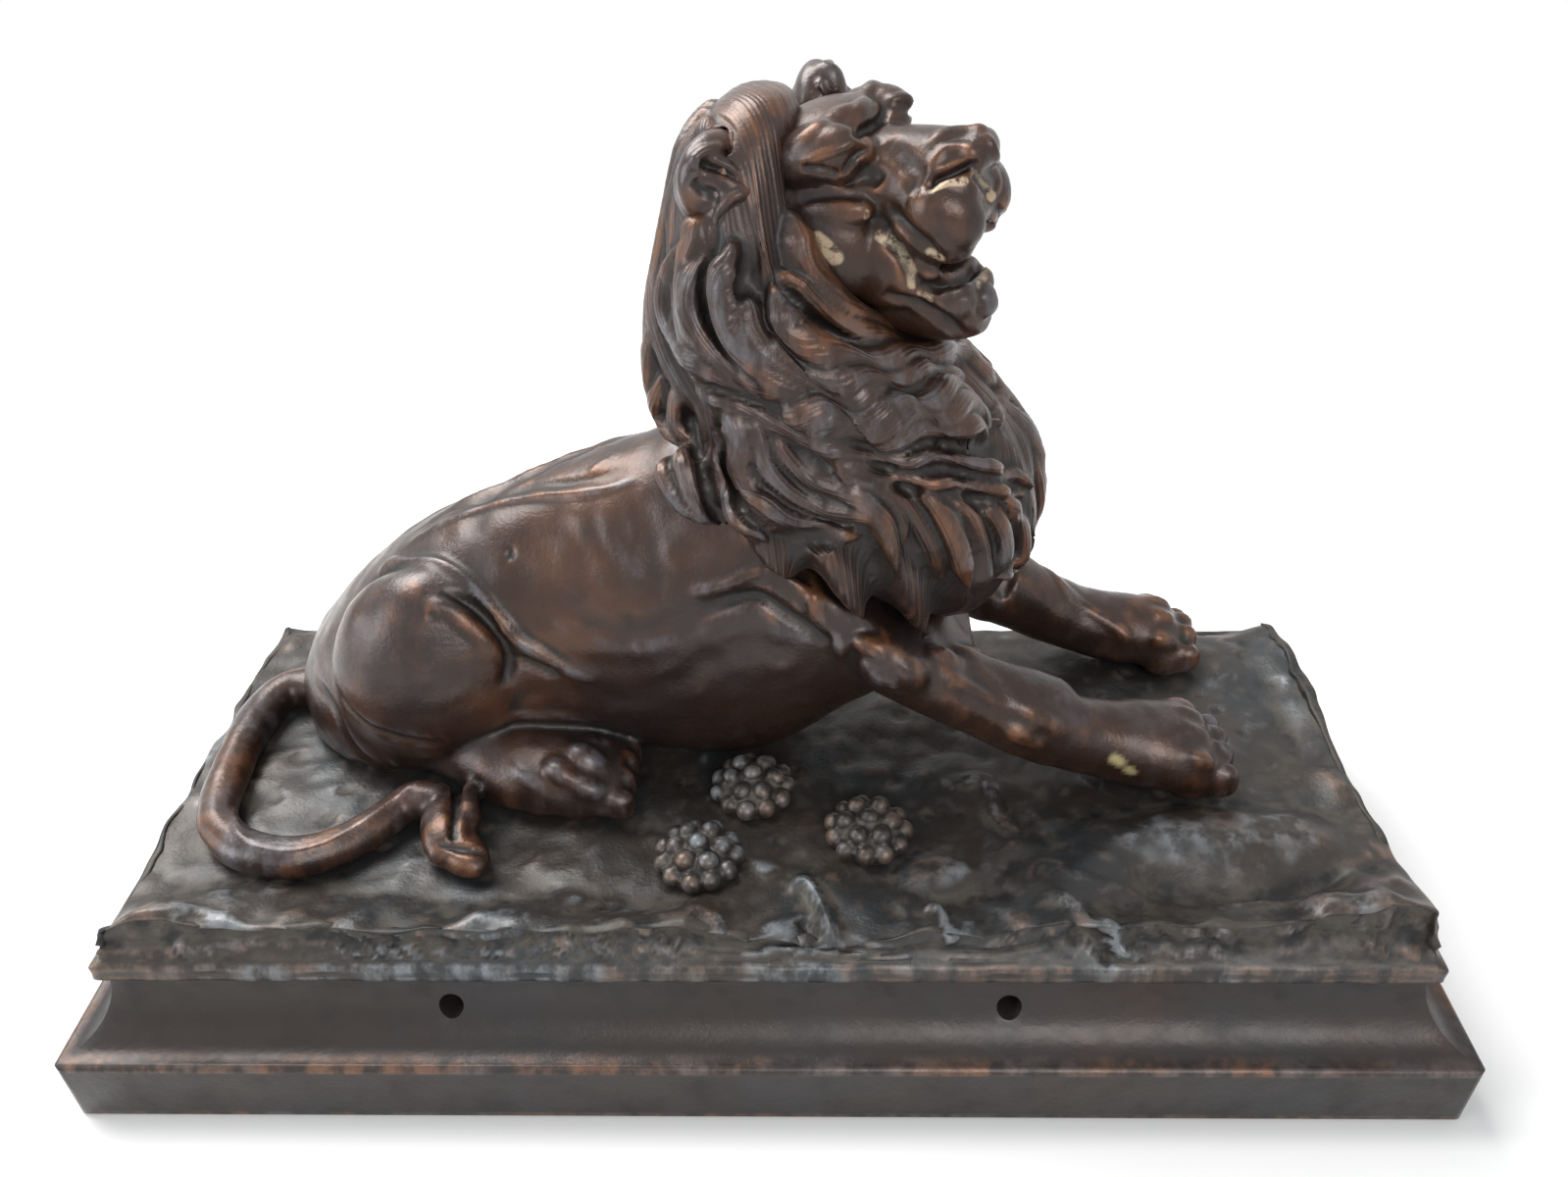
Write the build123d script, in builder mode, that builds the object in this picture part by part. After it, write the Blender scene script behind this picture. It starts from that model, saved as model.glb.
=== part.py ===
from build123d import *
import os
from math import cos, pi, sin

# A cast figure of a resting lion on a rocky terrace, bolted down to a moulded, hollow plinth.
# Frame: origin at the middle of the plinth's foot, +X the way the lion lies, +Y its far side, +Z up.

# ---- plinth ----
PLINTH_LENGTH = 160.0
PLINTH_DEPTH = 72.0
PLINTH_CORNER = 1.5  # round of the upright corners
BAND_HEIGHT = 9.4  # plain band under the cove
BAND_EDGE = 0.8  # round on the band's top edge
FOOT_CHAMFER = 0.5
COVE_RUN = 5.6  # how far the cove goes in
COVE_RISE = 8.2  # how far it goes up
PLINTH_WALL = 3.2  # behind the deepest part of the cove
PLINTH_TOP = 3.5  # thickness of the top plate
CAVITY_CORNER = 4.0
PLATE_HOLE_RADIUS = 1.4  # two holes for the pins of a small plate, in the front cove
PLATE_HOLE_SPACING = 63.0
PLATE_HOLE_OFFSET = -3.8  # the pair sits left of the middle
PLATE_HOLE_HEIGHT = 13.3

# ---- terrace ----
LIP_OVERHANG = 1.2  # beyond the top of the cove
LIP_HEIGHT = 2.6
LIP_ROUND = 0.5
ROCK_INSET = 0.8  # the rock's foot lies this far inside the lip
ROCK_HEIGHT = 1.8  # from the lip to the level that the lion lies on
ROCK_TAPER = 12.0  # degrees that the rock face leans in

# ---- fits and fixings ----
SEAT_GAP = 0.1  # under the figure, filled with wax
DOWEL_CLEARANCE = 0.05
JOINT_GAP = 0.3  # between the tail's root and the trunk
NECK_ROD_RADIUS = 2.0
FORELEG_DOWEL_RADIUS = 1.5
HIND_DOWEL_RADIUS = 1.2
TAIL_DOWEL_RADIUS = 1.0
SPIGOT_RADIUS = 1.2
SPIGOT_LENGTH = 2.5
STUD_RADIUS = 2.0
STUD_CLEARANCE = 0.2
STUD_DEPTH = 11.0  # into the figure
STUD_STICK_OUT = 6.0  # below the plinth's top plate
STUD_PLACES = [(-25.0, 9.5), (-7.0, 9.5)]
WASHER_CLEARANCE = 0.15
FIGURE_WASHER_RADIUS = 4.5
FIGURE_WASHER_THICKNESS = 0.8
FIGURE_NUT_FLATS = 7.0
FIGURE_NUT_THICKNESS = 3.2
SCREW_RADIUS = 1.5
SCREW_CLEARANCE = 0.1
SCREW_DEPTH = 3.0  # into the terrace
SCREW_TIP_ROOM = 0.3
SCREW_HEAD_RADIUS = 2.8
SCREW_HEAD_HEIGHT = 1.8
SCREW_SLOT_WIDTH = 0.8
SCREW_SLOT_DEPTH = 0.9
SCREW_EDGE_DISTANCE = 6.0  # from the walls of the plinth's cavity
SCREW_WASHER_RADIUS = 3.5
SCREW_WASHER_THICKNESS = 0.6

# ---- levels and sizes that follow ----
PLINTH_HEIGHT = BAND_HEIGHT + COVE_RISE
LIP_TOP = PLINTH_HEIGHT + LIP_HEIGHT
SEAT = LIP_TOP + ROCK_HEIGHT  # the level that the lion lies on
FIGURE_FOOT = SEAT + SEAT_GAP
COVE_TOP_INSET = BAND_EDGE + COVE_RUN
TERRACE_LENGTH = PLINTH_LENGTH - 2 * COVE_TOP_INSET + 2 * LIP_OVERHANG
TERRACE_DEPTH = PLINTH_DEPTH - 2 * COVE_TOP_INSET + 2 * LIP_OVERHANG
CAVITY_LENGTH = PLINTH_LENGTH - 2 * (COVE_TOP_INSET + PLINTH_WALL)
CAVITY_DEPTH = PLINTH_DEPTH - 2 * (COVE_TOP_INSET + PLINTH_WALL)
CAVITY_HEIGHT = PLINTH_HEIGHT - PLINTH_TOP
SCREW_PITCH_X = CAVITY_LENGTH - 2 * SCREW_EDGE_DISTANCE
SCREW_PITCH_Y = CAVITY_DEPTH - 2 * SCREW_EDGE_DISTANCE

# ---- rock ridges round the terrace: share of the half side, half width, rise above the seat ----
# the front ridge fills the ground from the terrace's edge to its inner foot, which is given as a
# distance from the terrace's middle, because the berries and the tail lie behind it
RIDGE_INSET = 0.5  # from the foot of the rock face
RIDGE_ROOT = 0.3  # above the lip, inside the rock
FRONT_RIDGE = [
    (-0.985, 21.5, 3.0),
    (-0.80, 20.3, 3.9),
    (-0.62, 21.1, 2.4),
    (-0.46, 21.5, 1.8),
    (-0.27, 22.3, 1.4),
    (-0.12, 23.5, 3.6),
    (0.08, 23.9, 0.4),
    (0.25, 21.1, 3.2),
    (0.45, 17.5, 3.8),
    (0.70, 13.5, 3.6),
    (0.985, 13.5, 3.2),
]
RIGHT_RIDGE = [
    (-0.97, 4.5, 2.6),
    (-0.50, 5.0, 2.2),
    (0.05, 4.5, 1.5),
    (0.50, 6.0, 4.0),
    (0.97, 5.0, 1.2),
]
LEFT_RIDGE = [
    (-0.97, 1.2, 0.6),
    (-0.40, 1.0, 0.8),
    (0.30, 0.9, 2.0),
    (0.70, 1.6, 1.4),
    (0.97, 2.4, 0.6),
]
BACK_RIDGE = [
    (-0.985, 2.0, 0.5),
    (-0.40, 1.4, 1.2),
    (0.20, 1.4, 1.0),
    (0.60, 0.7, 0.4),
    (0.80, 0.9, 0.5),
    (0.985, 2.4, 0.6),
]

# ---- berries ----
BERRY_PLACES = [(-1.7, -5.6), (12.4, -13.0), (-7.7, -17.0)]
BERRY_DOME = (4.6, 4.6, 3.4)
BEAD_RADIUS = 1.2
BEAD_RINGS = [(0.0, 1), (36.0, 6), (68.0, 11)]  # degrees from the top, beads in the ring

# ---- the lion: stations along each form ----
# Heights count from the seat. Sizes are half lengths.
MIDLINE = 9.5  # the spine's place along y
# x, side, height, half width, half height
TRUNK = [
    (-62.0, 2.5, 4.0, 4.0, 4.0),
    (-59.0, 2.5, 4.5, 9.0, 9.2),
    (-54.0, 1.5, 6.8, 13.0, 13.0),
    (-44.0, 0.5, 11.0, 14.5, 17.6),
    (-31.0, 0.5, 15.5, 14.0, 19.8),
    (-15.0, 0.5, 19.5, 14.5, 22.0),
    (0.0, -0.5, 23.0, 15.5, 24.2),
    (12.0, -1.0, 28.0, 14.5, 20.5),
    (21.0, -1.0, 27.0, 12.0, 16.5),
    (26.0, -1.0, 25.5, 7.0, 10.0),
]
# x, side, height, turn about y; half lengths
HAUNCHES = [
    ((-40.5, -8.5, 15.3), 20.0, (12.5, 8.5, 14.6)),
    ((-42.0, 7.5, 11.0), 20.0, (12.0, 8.0, 12.0)),
]
SHOULDERS = [
    ((8.5, -9.5, 27.0), -12.0, (9.0, 7.0, 14.0)),
    ((10.0, 9.5, 27.0), -12.0, (9.0, 7.0, 14.0)),
]
# x, y, height, half width, half height
NEAR_HIND_FOOT = [
    (-47.0, 0.0, 5.0, 4.0, 4.5),
    (-40.0, -0.5, 4.5, 4.4, 5.5),
    (-31.0, -4.6, 4.0, 5.6, 5.2),
    (-23.0, -5.6, 3.6, 6.4, 4.8),
    (-18.0, -5.6, 2.6, 5.8, 3.6),
]
FAR_HIND_FOOT = [
    (-47.0, 18.0, 5.0, 4.0, 4.5),
    (-40.0, 19.5, 4.5, 4.6, 5.5),
    (-31.0, 20.4, 4.0, 5.0, 5.2),
    (-23.0, 20.6, 3.6, 5.2, 4.8),
    (-18.0, 20.6, 2.6, 4.8, 3.6),
]
NEAR_FORELEG = [
    (12.0, -2.0, 24.0, 5.0, 7.5),
    (18.5, -2.5, 19.5, 5.5, 6.5),
    (28.5, -3.0, 12.6, 4.8, 5.4),
    (35.0, -3.2, 9.0, 4.4, 5.0),
    (41.5, -2.6, 6.6, 4.9, 5.0),
    (48.0, -2.2, 5.4, 6.2, 5.2),
    (54.0, -2.2, 3.6, 5.8, 3.8),
]
FAR_FORELEG = [
    (15.0, 19.0, 22.0, 5.0, 7.0),
    (22.0, 20.5, 18.5, 5.2, 6.2),
    (31.0, 21.5, 13.0, 4.8, 5.4),
    (38.5, 22.5, 8.6, 4.4, 4.9),
    (45.0, 22.4, 6.0, 4.6, 4.8),
    (51.0, 22.2, 4.9, 5.2, 4.9),
    (56.5, 22.0, 3.3, 4.8, 3.6),
]
UPPER_ARM = slice(0, 3)  # stations of the upper arm, cast with the trunk
FOREARM = slice(2, None)
ELBOWS = [
    ((15.2, -15.5, 22.0), 35.0, (5.2, 3.6, 4.2)),
    ((15.2, 15.5, 22.0), 35.0, (5.0, 3.4, 4.0)),
]
NECK_JOINT_PLACE = (4.0, 33.5)  # x and height of the flat joint under the mane
NECK_JOINT_LEAN = 36.0
TOE_RADII = (3.0, 1.6, 2.6)
TOE_PITCH = 2.7
TAIL_ROOT_Y = 12.5
TAIL_CENTRE = 2.2  # height of the tail's centre line
# x, y, radius, from the trunk round to the tuft
TAIL = [
    (-66.0, TAIL_ROOT_Y - 0.2, 2.6),
    (-67.9, 9.2, 2.6),
    (-68.4, 3.0, 2.5),
    (-67.9, -5.0, 2.5),
    (-66.0, -12.5, 2.5),
    (-60.5, -17.3, 2.5),
    (-53.5, -18.0, 2.4),
    (-48.0, -14.6, 2.3),
    (-44.4, -10.0, 2.3),
]
TUFT_LOCKS = [
    ((-41.4, -9.6, 2.6), -4.0, (4.8, 2.4, 2.9)),
    ((-38.4, -14.0, 2.3), -80.0, (5.4, 2.7, 2.9)),
    ((-35.2, -17.4, 1.8), -40.0, (4.2, 2.6, 2.2)),
]

# ---- head, in its own frame: x towards the nose, z towards the crown, y its left ----
HEAD_PLACE = (5.0, 7.0, 69.8)
HEAD_YAW = -30.0
HEAD_PITCH = 14.0
HEAD_ROLL = 7.0
SKULL_PLACE = (-1.5, 0.0, 0.5)
SKULL_RADII = (10.5, 9.2, 8.6)
# x, z, half width, half height
MUZZLE = [
    (2.0, 2.2, 6.8, 6.0),
    (10.0, 1.4, 5.0, 5.0),
    (16.4, 1.2, 4.2, 4.2),
    (20.0, 1.7, 3.0, 2.7),
]
JAW = [
    (-2.0, -6.5, 6.0, 5.0),
    (7.0, -9.4, 4.8, 4.0),
    (13.5, -11.4, 3.8, 3.8),
    (17.0, -11.8, 2.6, 2.8),
]
NOSE_PAD = ((19.8, 0.0, 3.0), (1.6, 2.7, 1.8))
# these three are mirrored to the other cheek
WHISKER_PAD = ((15.6, 2.9, -1.6), (4.6, 3.5, 4.4))
BROW = ((7.4, 4.1, 5.4), (4.0, 3.0, 2.3))
CHEEK = ((3.0, 5.4, -2.6), (7.0, 4.0, 6.0))
EAR_PLACE = (-2.0, 10.2, 6.8)
EAR_LEAN = 35.0
EAR_TURN = 20.0
EAR_THICKNESS = 2.4
EAR_RADIUS = 4.4
EAR_HOLLOW_RADIUS = 3.1

# ---- mane: a stack of fluted rings, one flute for each lock ----
MANE_LOCKS = 13
# x, side, height, lean, half length, half width, lock depth as a share, sweep towards the breast
MANE_RINGS = [
    (0.8, -4.5, 82.5, 0.0, 2.5, 4.0, 0.03, 0.0),
    (-0.5, -4.0, 77.5, -8.0, 6.5, 9.5, 0.05, 0.05),
    (-0.8, -3.5, 70.0, -6.0, 8.2, 13.0, 0.07, 0.15),
    (1.5, -2.5, 61.0, 0.0, 12.5, 16.0, 0.08, 0.25),
    (6.5, -1.0, 53.0, 8.0, 18.5, 18.5, 0.08, 0.35),
    (10.0, 0.0, 44.5, 12.0, 21.8, 20.0, 0.08, 0.42),
    (13.0, 0.0, 35.5, 18.0, 19.5, 19.0, 0.09, 0.5),
    (15.5, 0.0, 28.0, 22.0, 13.0, 15.0, 0.1, 0.55),
    (18.0, 0.0, 21.5, 24.0, 6.0, 8.0, 0.08, 0.55),
]
# Loose locks over the hem, as root and tip: (x, side, height); mirrored to the far side.
LOCK_HALF_WIDTH = 4.6
LOCK_HALF_THICKNESS = 3.0
LOCK_TIP_SHARE = 0.22
LOOSE_LOCKS = [
    ((-6.5, -13.0, 47.0), (-4.5, -17.0, 35.0)),
    ((-0.5, -17.0, 45.0), (4.0, -18.5, 31.5)),
    ((6.5, -18.0, 41.0), (12.0, -18.0, 27.5)),
    ((14.0, -16.0, 37.0), (19.0, -14.0, 22.5)),
    ((21.0, -12.0, 34.0), (24.0, -8.5, 22.0)),
]


def above_seat(x, y, height):
    """A place given by its height above the seat, in the part's frame."""
    return Vector(x, y, SEAT + height)


def oval(location, radii, mode=Mode.ADD):
    """Adds an ellipsoid with these half lengths to the open part, or takes it away."""
    ball = scale(Sphere(1, mode=Mode.PRIVATE), by=tuple(radii), mode=Mode.PRIVATE)
    add(location * ball, mode=mode)


def rod(start, end, radius, mode=Mode.ADD):
    """Adds a round rod between two places to the open part, or drills it away."""
    along = end - start
    with BuildSketch(Plane(origin=start, z_dir=along)) as section:
        Circle(radius)
    extrude(section.sketch.face(), amount=along.length, mode=mode)


def run_of_ovals(centres, sizes, stretch=slice(None)):
    """Lofts ovals along these centres; sizes are the half width and half height at each of them."""
    rings = []
    for number, (centre, (half_width, half_height)) in enumerate(zip(centres, sizes)):
        before = centres[max(number - 1, 0)]
        after = centres[min(number + 1, len(centres) - 1)]
        along = (after - before).normalized()
        across = Vector(0, 0, 1).cross(along)
        with BuildSketch(Plane(origin=centre, x_dir=across, z_dir=along)) as ring:
            Ellipse(half_width, half_height)
        rings.append(ring.sketch.face())
    loft(rings[stretch])


def limb(stations, stretch=slice(None)):
    """Lofts a stretch of a limb through stations of x, y, height, half width and half height."""
    centres = [above_seat(*station[:3]) for station in stations]
    run_of_ovals(centres, [station[3:] for station in stations], stretch)


def toes(x, y, height, count=4):
    """Adds a row of toes, side by side across the paw, the outer ones set back."""
    for number in range(count):
        side = (number - (count - 1) / 2) * TOE_PITCH
        oval(Location(above_seat(x - 0.12 * side**2, y + side, height)), TOE_RADII)


def dress_foot():
    """Cuts the open part flat at the figure's foot."""
    split(bisect_by=Plane.XY.offset(FIGURE_FOOT), keep=Keep.TOP)


# ======== dowels inside the figure: start and end of each ========
NECK_ROD = (above_seat(5.5, 9.0, 22.0), above_seat(3.0, 8.0, 68.0))
FORELEG_DOWELS = [
    (above_seat(23.0, -2.7, 16.4), above_seat(34.0, -3.2, 9.5)),
    (above_seat(25.0, 20.9, 16.8), above_seat(37.0, 22.3, 9.4)),
]
HIND_DOWELS = [
    (above_seat(-45.0, 3.0, 5.0), above_seat(-34.0, -3.8, 4.2)),
    (above_seat(-45.0, 16.5, 5.0), above_seat(-34.0, 20.2, 4.2)),
]
TAIL_DOWEL = (above_seat(-57.0, TAIL_ROOT_Y, 2.5), above_seat(-64.3, TAIL_ROOT_Y, 2.5))


def drill(ends, radius):
    """Drills the hole of a dowel into the open part."""
    rod(*ends, radius + DOWEL_CLEARANCE, mode=Mode.SUBTRACT)


# ======== plinth ========
def moulding(half, height):
    """Outline of the band and the cove above it, drawn on one side and mirrored to the other."""
    with BuildLine() as outline:
        Polyline((0, 0), (half - FOOT_CHAMFER, 0), (half, FOOT_CHAMFER), (half, BAND_HEIGHT - BAND_EDGE))
        RadiusArc((half, BAND_HEIGHT - BAND_EDGE), (half - BAND_EDGE, BAND_HEIGHT), -BAND_EDGE)
        EllipticalCenterArc((half - BAND_EDGE, height), COVE_RUN, COVE_RISE, start_angle=180, arc_size=90)
        Line((half - COVE_TOP_INSET, height), (0, height))
        mirror(about=Plane.YZ)
    make_face(outline.edges())


with BuildPart() as plinth:
    with BuildSketch(Plane.YZ):
        moulding(PLINTH_DEPTH / 2, PLINTH_HEIGHT)
    extrude(amount=PLINTH_LENGTH / 2, both=True)
    with BuildSketch(Plane.XZ):
        moulding(PLINTH_LENGTH / 2, PLINTH_HEIGHT)
    extrude(amount=PLINTH_DEPTH / 2, both=True, mode=Mode.INTERSECT)
    with BuildSketch():
        RectangleRounded(PLINTH_LENGTH, PLINTH_DEPTH, PLINTH_CORNER)
    extrude(amount=PLINTH_HEIGHT, mode=Mode.INTERSECT)
    with BuildSketch():
        RectangleRounded(CAVITY_LENGTH, CAVITY_DEPTH, CAVITY_CORNER)
    extrude(amount=CAVITY_HEIGHT, mode=Mode.SUBTRACT)
    with BuildSketch(Plane.XZ):
        with Locations((PLATE_HOLE_OFFSET, PLATE_HOLE_HEIGHT)):
            with GridLocations(PLATE_HOLE_SPACING, 0, 2, 1):
                Circle(PLATE_HOLE_RADIUS)
    extrude(amount=PLINTH_DEPTH / 2, mode=Mode.SUBTRACT)
    with BuildSketch(Plane.XY.offset(CAVITY_HEIGHT)):
        with GridLocations(SCREW_PITCH_X, SCREW_PITCH_Y, 2, 2):
            Circle(SCREW_RADIUS + SCREW_CLEARANCE)
        with Locations(*STUD_PLACES):
            Circle(STUD_RADIUS + STUD_CLEARANCE)
    extrude(amount=PLINTH_TOP, mode=Mode.SUBTRACT)
plinth.part.label = "plinth"


# ======== terrace ========
def ridge(stations, along, outward, half_run, half_across):
    """Lofts a ridge of rock along one side of the terrace, its outer flank just inside the rock face."""
    sections = []
    for share, half_width, rise in stations:
        centre = along * (share * (half_run - ROCK_INSET - RIDGE_INSET))
        centre += outward * (half_across - ROCK_INSET - RIDGE_INSET - half_width)
        foot = Vector(centre.X, centre.Y, LIP_TOP + RIDGE_ROOT)
        with BuildSketch(Plane(origin=foot, x_dir=outward, z_dir=outward.cross(Vector(0, 0, 1)))) as section:
            with BuildLine():
                EllipticalCenterArc(
                    (0, 0), half_width, ROCK_HEIGHT - RIDGE_ROOT + rise, start_angle=0, arc_size=180
                )
                Line((-half_width, 0), (half_width, 0))
            make_face()
        sections.append(section.sketch.face())
    loft(sections, ruled=True)


with BuildPart() as terrace:
    front_edge = TERRACE_DEPTH / 2 - ROCK_INSET - RIDGE_INSET
    front_stations = [(share, (front_edge - foot) / 2, rise) for share, foot, rise in FRONT_RIDGE]
    ridge(front_stations, Vector(1, 0, 0), Vector(0, -1, 0), TERRACE_LENGTH / 2, TERRACE_DEPTH / 2)
    ridge(BACK_RIDGE, Vector(1, 0, 0), Vector(0, 1, 0), TERRACE_LENGTH / 2, TERRACE_DEPTH / 2)
    ridge(RIGHT_RIDGE, Vector(0, 1, 0), Vector(1, 0, 0), TERRACE_DEPTH / 2, TERRACE_LENGTH / 2)
    ridge(LEFT_RIDGE, Vector(0, 1, 0), Vector(-1, 0, 0), TERRACE_DEPTH / 2, TERRACE_LENGTH / 2)
    with BuildSketch(Plane.XY.offset(LIP_TOP)):
        Rectangle(TERRACE_LENGTH - 2 * ROCK_INSET, TERRACE_DEPTH - 2 * ROCK_INSET)
    extrude(amount=ROCK_HEIGHT, taper=ROCK_TAPER)
    with BuildSketch(Plane.XY.offset(PLINTH_HEIGHT)):
        RectangleRounded(TERRACE_LENGTH, TERRACE_DEPTH, LIP_ROUND)
    extrude(amount=LIP_HEIGHT)
    with BuildSketch(Plane.XY.offset(PLINTH_HEIGHT)):
        with Locations(*STUD_PLACES):
            Circle(STUD_RADIUS + STUD_CLEARANCE)
    extrude(amount=SEAT, mode=Mode.SUBTRACT)
    with BuildSketch(Plane.XY.offset(PLINTH_HEIGHT)):
        with GridLocations(SCREW_PITCH_X, SCREW_PITCH_Y, 2, 2):
            Circle(SCREW_RADIUS + DOWEL_CLEARANCE)
    extrude(amount=SCREW_DEPTH + SCREW_TIP_ROOM, mode=Mode.SUBTRACT)
    with BuildSketch(Plane.XY.offset(SEAT - SPIGOT_LENGTH - SCREW_TIP_ROOM)):
        with Locations(*BERRY_PLACES):
            Circle(SPIGOT_RADIUS + DOWEL_CLEARANCE)
    extrude(amount=SEAT, mode=Mode.SUBTRACT)
terrace.part.label = "terrace"


# ======== berries ========
def bead_places(x, y):
    """Centres of the beads over one dome, ring by ring from its top."""
    along, across, up = BERRY_DOME
    places = []
    for degrees, count in BEAD_RINGS:
        slope = degrees * pi / 180
        for number in range(count):
            turn = 2 * pi * number / count
            places.append(
                above_seat(
                    x + along * sin(slope) * cos(turn),
                    y + across * sin(slope) * sin(turn),
                    up * cos(slope),
                )
            )
    return places


with BuildPart() as berry_clusters:
    for berry_x, berry_y in BERRY_PLACES:
        oval(Location(above_seat(berry_x, berry_y, 0)), BERRY_DOME)
        with Locations(*bead_places(berry_x, berry_y)):
            Sphere(BEAD_RADIUS)
    split(bisect_by=Plane.XY.offset(SEAT), keep=Keep.TOP)
    with BuildSketch(Plane.XY.offset(SEAT - SPIGOT_LENGTH)):
        with Locations(*BERRY_PLACES):
            Circle(SPIGOT_RADIUS)
    extrude(amount=SPIGOT_LENGTH)
berry_clusters.part.label = "berry_clusters"

# ======== lion's trunk, with the upper arms and elbows ========
NECK_JOINT = Plane(
    origin=above_seat(NECK_JOINT_PLACE[0], MIDLINE, NECK_JOINT_PLACE[1]),
    x_dir=(0, 1, 0),
    z_dir=(sin(NECK_JOINT_LEAN * pi / 180), 0, cos(NECK_JOINT_LEAN * pi / 180)),
)

with BuildPart() as lion_body:
    trunk_rings = []
    for x, side, height, half_width, half_height in TRUNK:
        centre = above_seat(x, MIDLINE + side, height)
        with BuildSketch(Plane(origin=centre, x_dir=(0, 1, 0), z_dir=(1, 0, 0))) as trunk_ring:
            Ellipse(half_width, half_height)
        trunk_rings.append(trunk_ring.sketch.face())
    loft(trunk_rings)
    for (x, side, height), turn, radii in HAUNCHES + SHOULDERS + ELBOWS:
        oval(Location(above_seat(x, MIDLINE + side, height), (0, turn, 0)), radii)
    limb(NEAR_FORELEG, UPPER_ARM)
    limb(FAR_FORELEG, UPPER_ARM)
    split(bisect_by=NECK_JOINT, keep=Keep.BOTTOM)
    for place in STUD_PLACES:
        stud_tip = Vector(*place, FIGURE_FOOT + STUD_DEPTH + SCREW_TIP_ROOM)
        drill((Vector(*place, 0), stud_tip), STUD_RADIUS)
    dress_foot()
    drill(NECK_ROD, NECK_ROD_RADIUS)
    for ends in FORELEG_DOWELS:
        drill(ends, FORELEG_DOWEL_RADIUS)
    for ends in HIND_DOWELS:
        drill(ends, HIND_DOWEL_RADIUS)
    drill(TAIL_DOWEL, TAIL_DOWEL_RADIUS)
lion_body.part.label = "lion_body"

# ======== head ========
HEAD = Location(above_seat(*HEAD_PLACE)) * Rotation(HEAD_ROLL, -HEAD_PITCH, HEAD_YAW, Extrinsic.XYZ)


def head_loft(stations):
    """Lofts along the head through stations of x, z, half width and half height."""
    rings = []
    for x, z, half_width, half_height in stations:
        across = Plane(HEAD * Location(Plane(origin=(x, 0, z), x_dir=(0, 1, 0), z_dir=(1, 0, 0))))
        with BuildSketch(across) as ring:
            Ellipse(half_width, half_height)
        rings.append(ring.sketch.face())
    loft(rings)


with BuildPart() as lion_head:
    oval(HEAD * Pos(*SKULL_PLACE), SKULL_RADII)
    head_loft(MUZZLE)
    head_loft(JAW)
    nose_place, nose_radii = NOSE_PAD
    oval(HEAD * Pos(*nose_place), nose_radii)
    for side in (-1, 1):
        for (x, y, z), radii in (WHISKER_PAD, BROW, CHEEK):
            oval(HEAD * Pos(x, side * y, z), radii)
        ear_x, ear_y, ear_z = EAR_PLACE
        ear = HEAD * Location((ear_x, side * ear_y, ear_z), (side * -EAR_LEAN, 0, side * EAR_TURN))
        oval(ear, (EAR_THICKNESS, EAR_RADIUS, EAR_RADIUS))
        hollow = (EAR_THICKNESS, EAR_HOLLOW_RADIUS, EAR_HOLLOW_RADIUS)
        oval(ear * Pos(EAR_THICKNESS, 0, 0.5), hollow, Mode.SUBTRACT)
    drill(NECK_ROD, NECK_ROD_RADIUS)
lion_head.part.label = "lion_head"


# ======== mane ========
def mane_ring(x, side, height, lean, half_length, half_width, lock_depth, sweep):
    """A closed curve with one crest for each lock; sweep draws the crests towards the breast."""
    points = []
    for number in range(2 * MANE_LOCKS):
        turn = pi * number / MANE_LOCKS
        angle = turn
        for _ in range(8):
            angle = turn - sweep * sin(angle)
        reach = 1 + lock_depth * (-1) ** number
        points.append((half_length * reach * cos(angle), half_width * reach * sin(angle)))
    with BuildSketch(Plane(above_seat(x, MIDLINE + side, height)).rotated((0, lean, 0))) as ring:
        with BuildLine():
            Polyline(*points, close=True)
        make_face()
    return ring.sketch.face()


with BuildPart() as lion_mane:
    loft([mane_ring(*ring) for ring in MANE_RINGS])
    for mirrored in (1, -1):
        for root, tip in LOOSE_LOCKS:
            places = [(x, MIDLINE + mirrored * side, height) for x, side, height in (root, tip)]
            start, end = [above_seat(*place) for place in places]
            middle = start + (end - start) * 0.5
            full = (LOCK_HALF_WIDTH, LOCK_HALF_THICKNESS)
            run_of_ovals(
                [start, middle, end],
                [full, [0.9 * size for size in full], [LOCK_TIP_SHARE * size for size in full]],
            )
    split(bisect_by=NECK_JOINT, keep=Keep.TOP)
    add(lion_head.part, mode=Mode.SUBTRACT)
    drill(NECK_ROD, NECK_ROD_RADIUS)
lion_mane.part.label = "lion_mane"

# ======== legs, feet and tail ========
with BuildPart() as near_foreleg:
    limb(NEAR_FORELEG, FOREARM)
    toes(54.6, -2.2, 2.8)
    dress_foot()
    drill(FORELEG_DOWELS[0], FORELEG_DOWEL_RADIUS)
near_foreleg.part.label = "near_foreleg"

with BuildPart() as far_foreleg:
    limb(FAR_FORELEG, FOREARM)
    toes(57.0, 22.0, 2.6)
    dress_foot()
    drill(FORELEG_DOWELS[1], FORELEG_DOWEL_RADIUS)
far_foreleg.part.label = "far_foreleg"

with BuildPart() as near_hind_foot:
    limb(NEAR_HIND_FOOT)
    toes(-18.6, -5.6, 2.6)
    dress_foot()
    add(lion_body.part, mode=Mode.SUBTRACT)
    drill(HIND_DOWELS[0], HIND_DOWEL_RADIUS)
near_hind_foot.part.label = "near_hind_foot"

with BuildPart() as far_hind_foot:
    limb(FAR_HIND_FOOT)
    toes(-18.6, 20.6, 2.6)
    dress_foot()
    add(lion_body.part, mode=Mode.SUBTRACT)
    drill(HIND_DOWELS[1], HIND_DOWEL_RADIUS)
far_hind_foot.part.label = "far_hind_foot"

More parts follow.
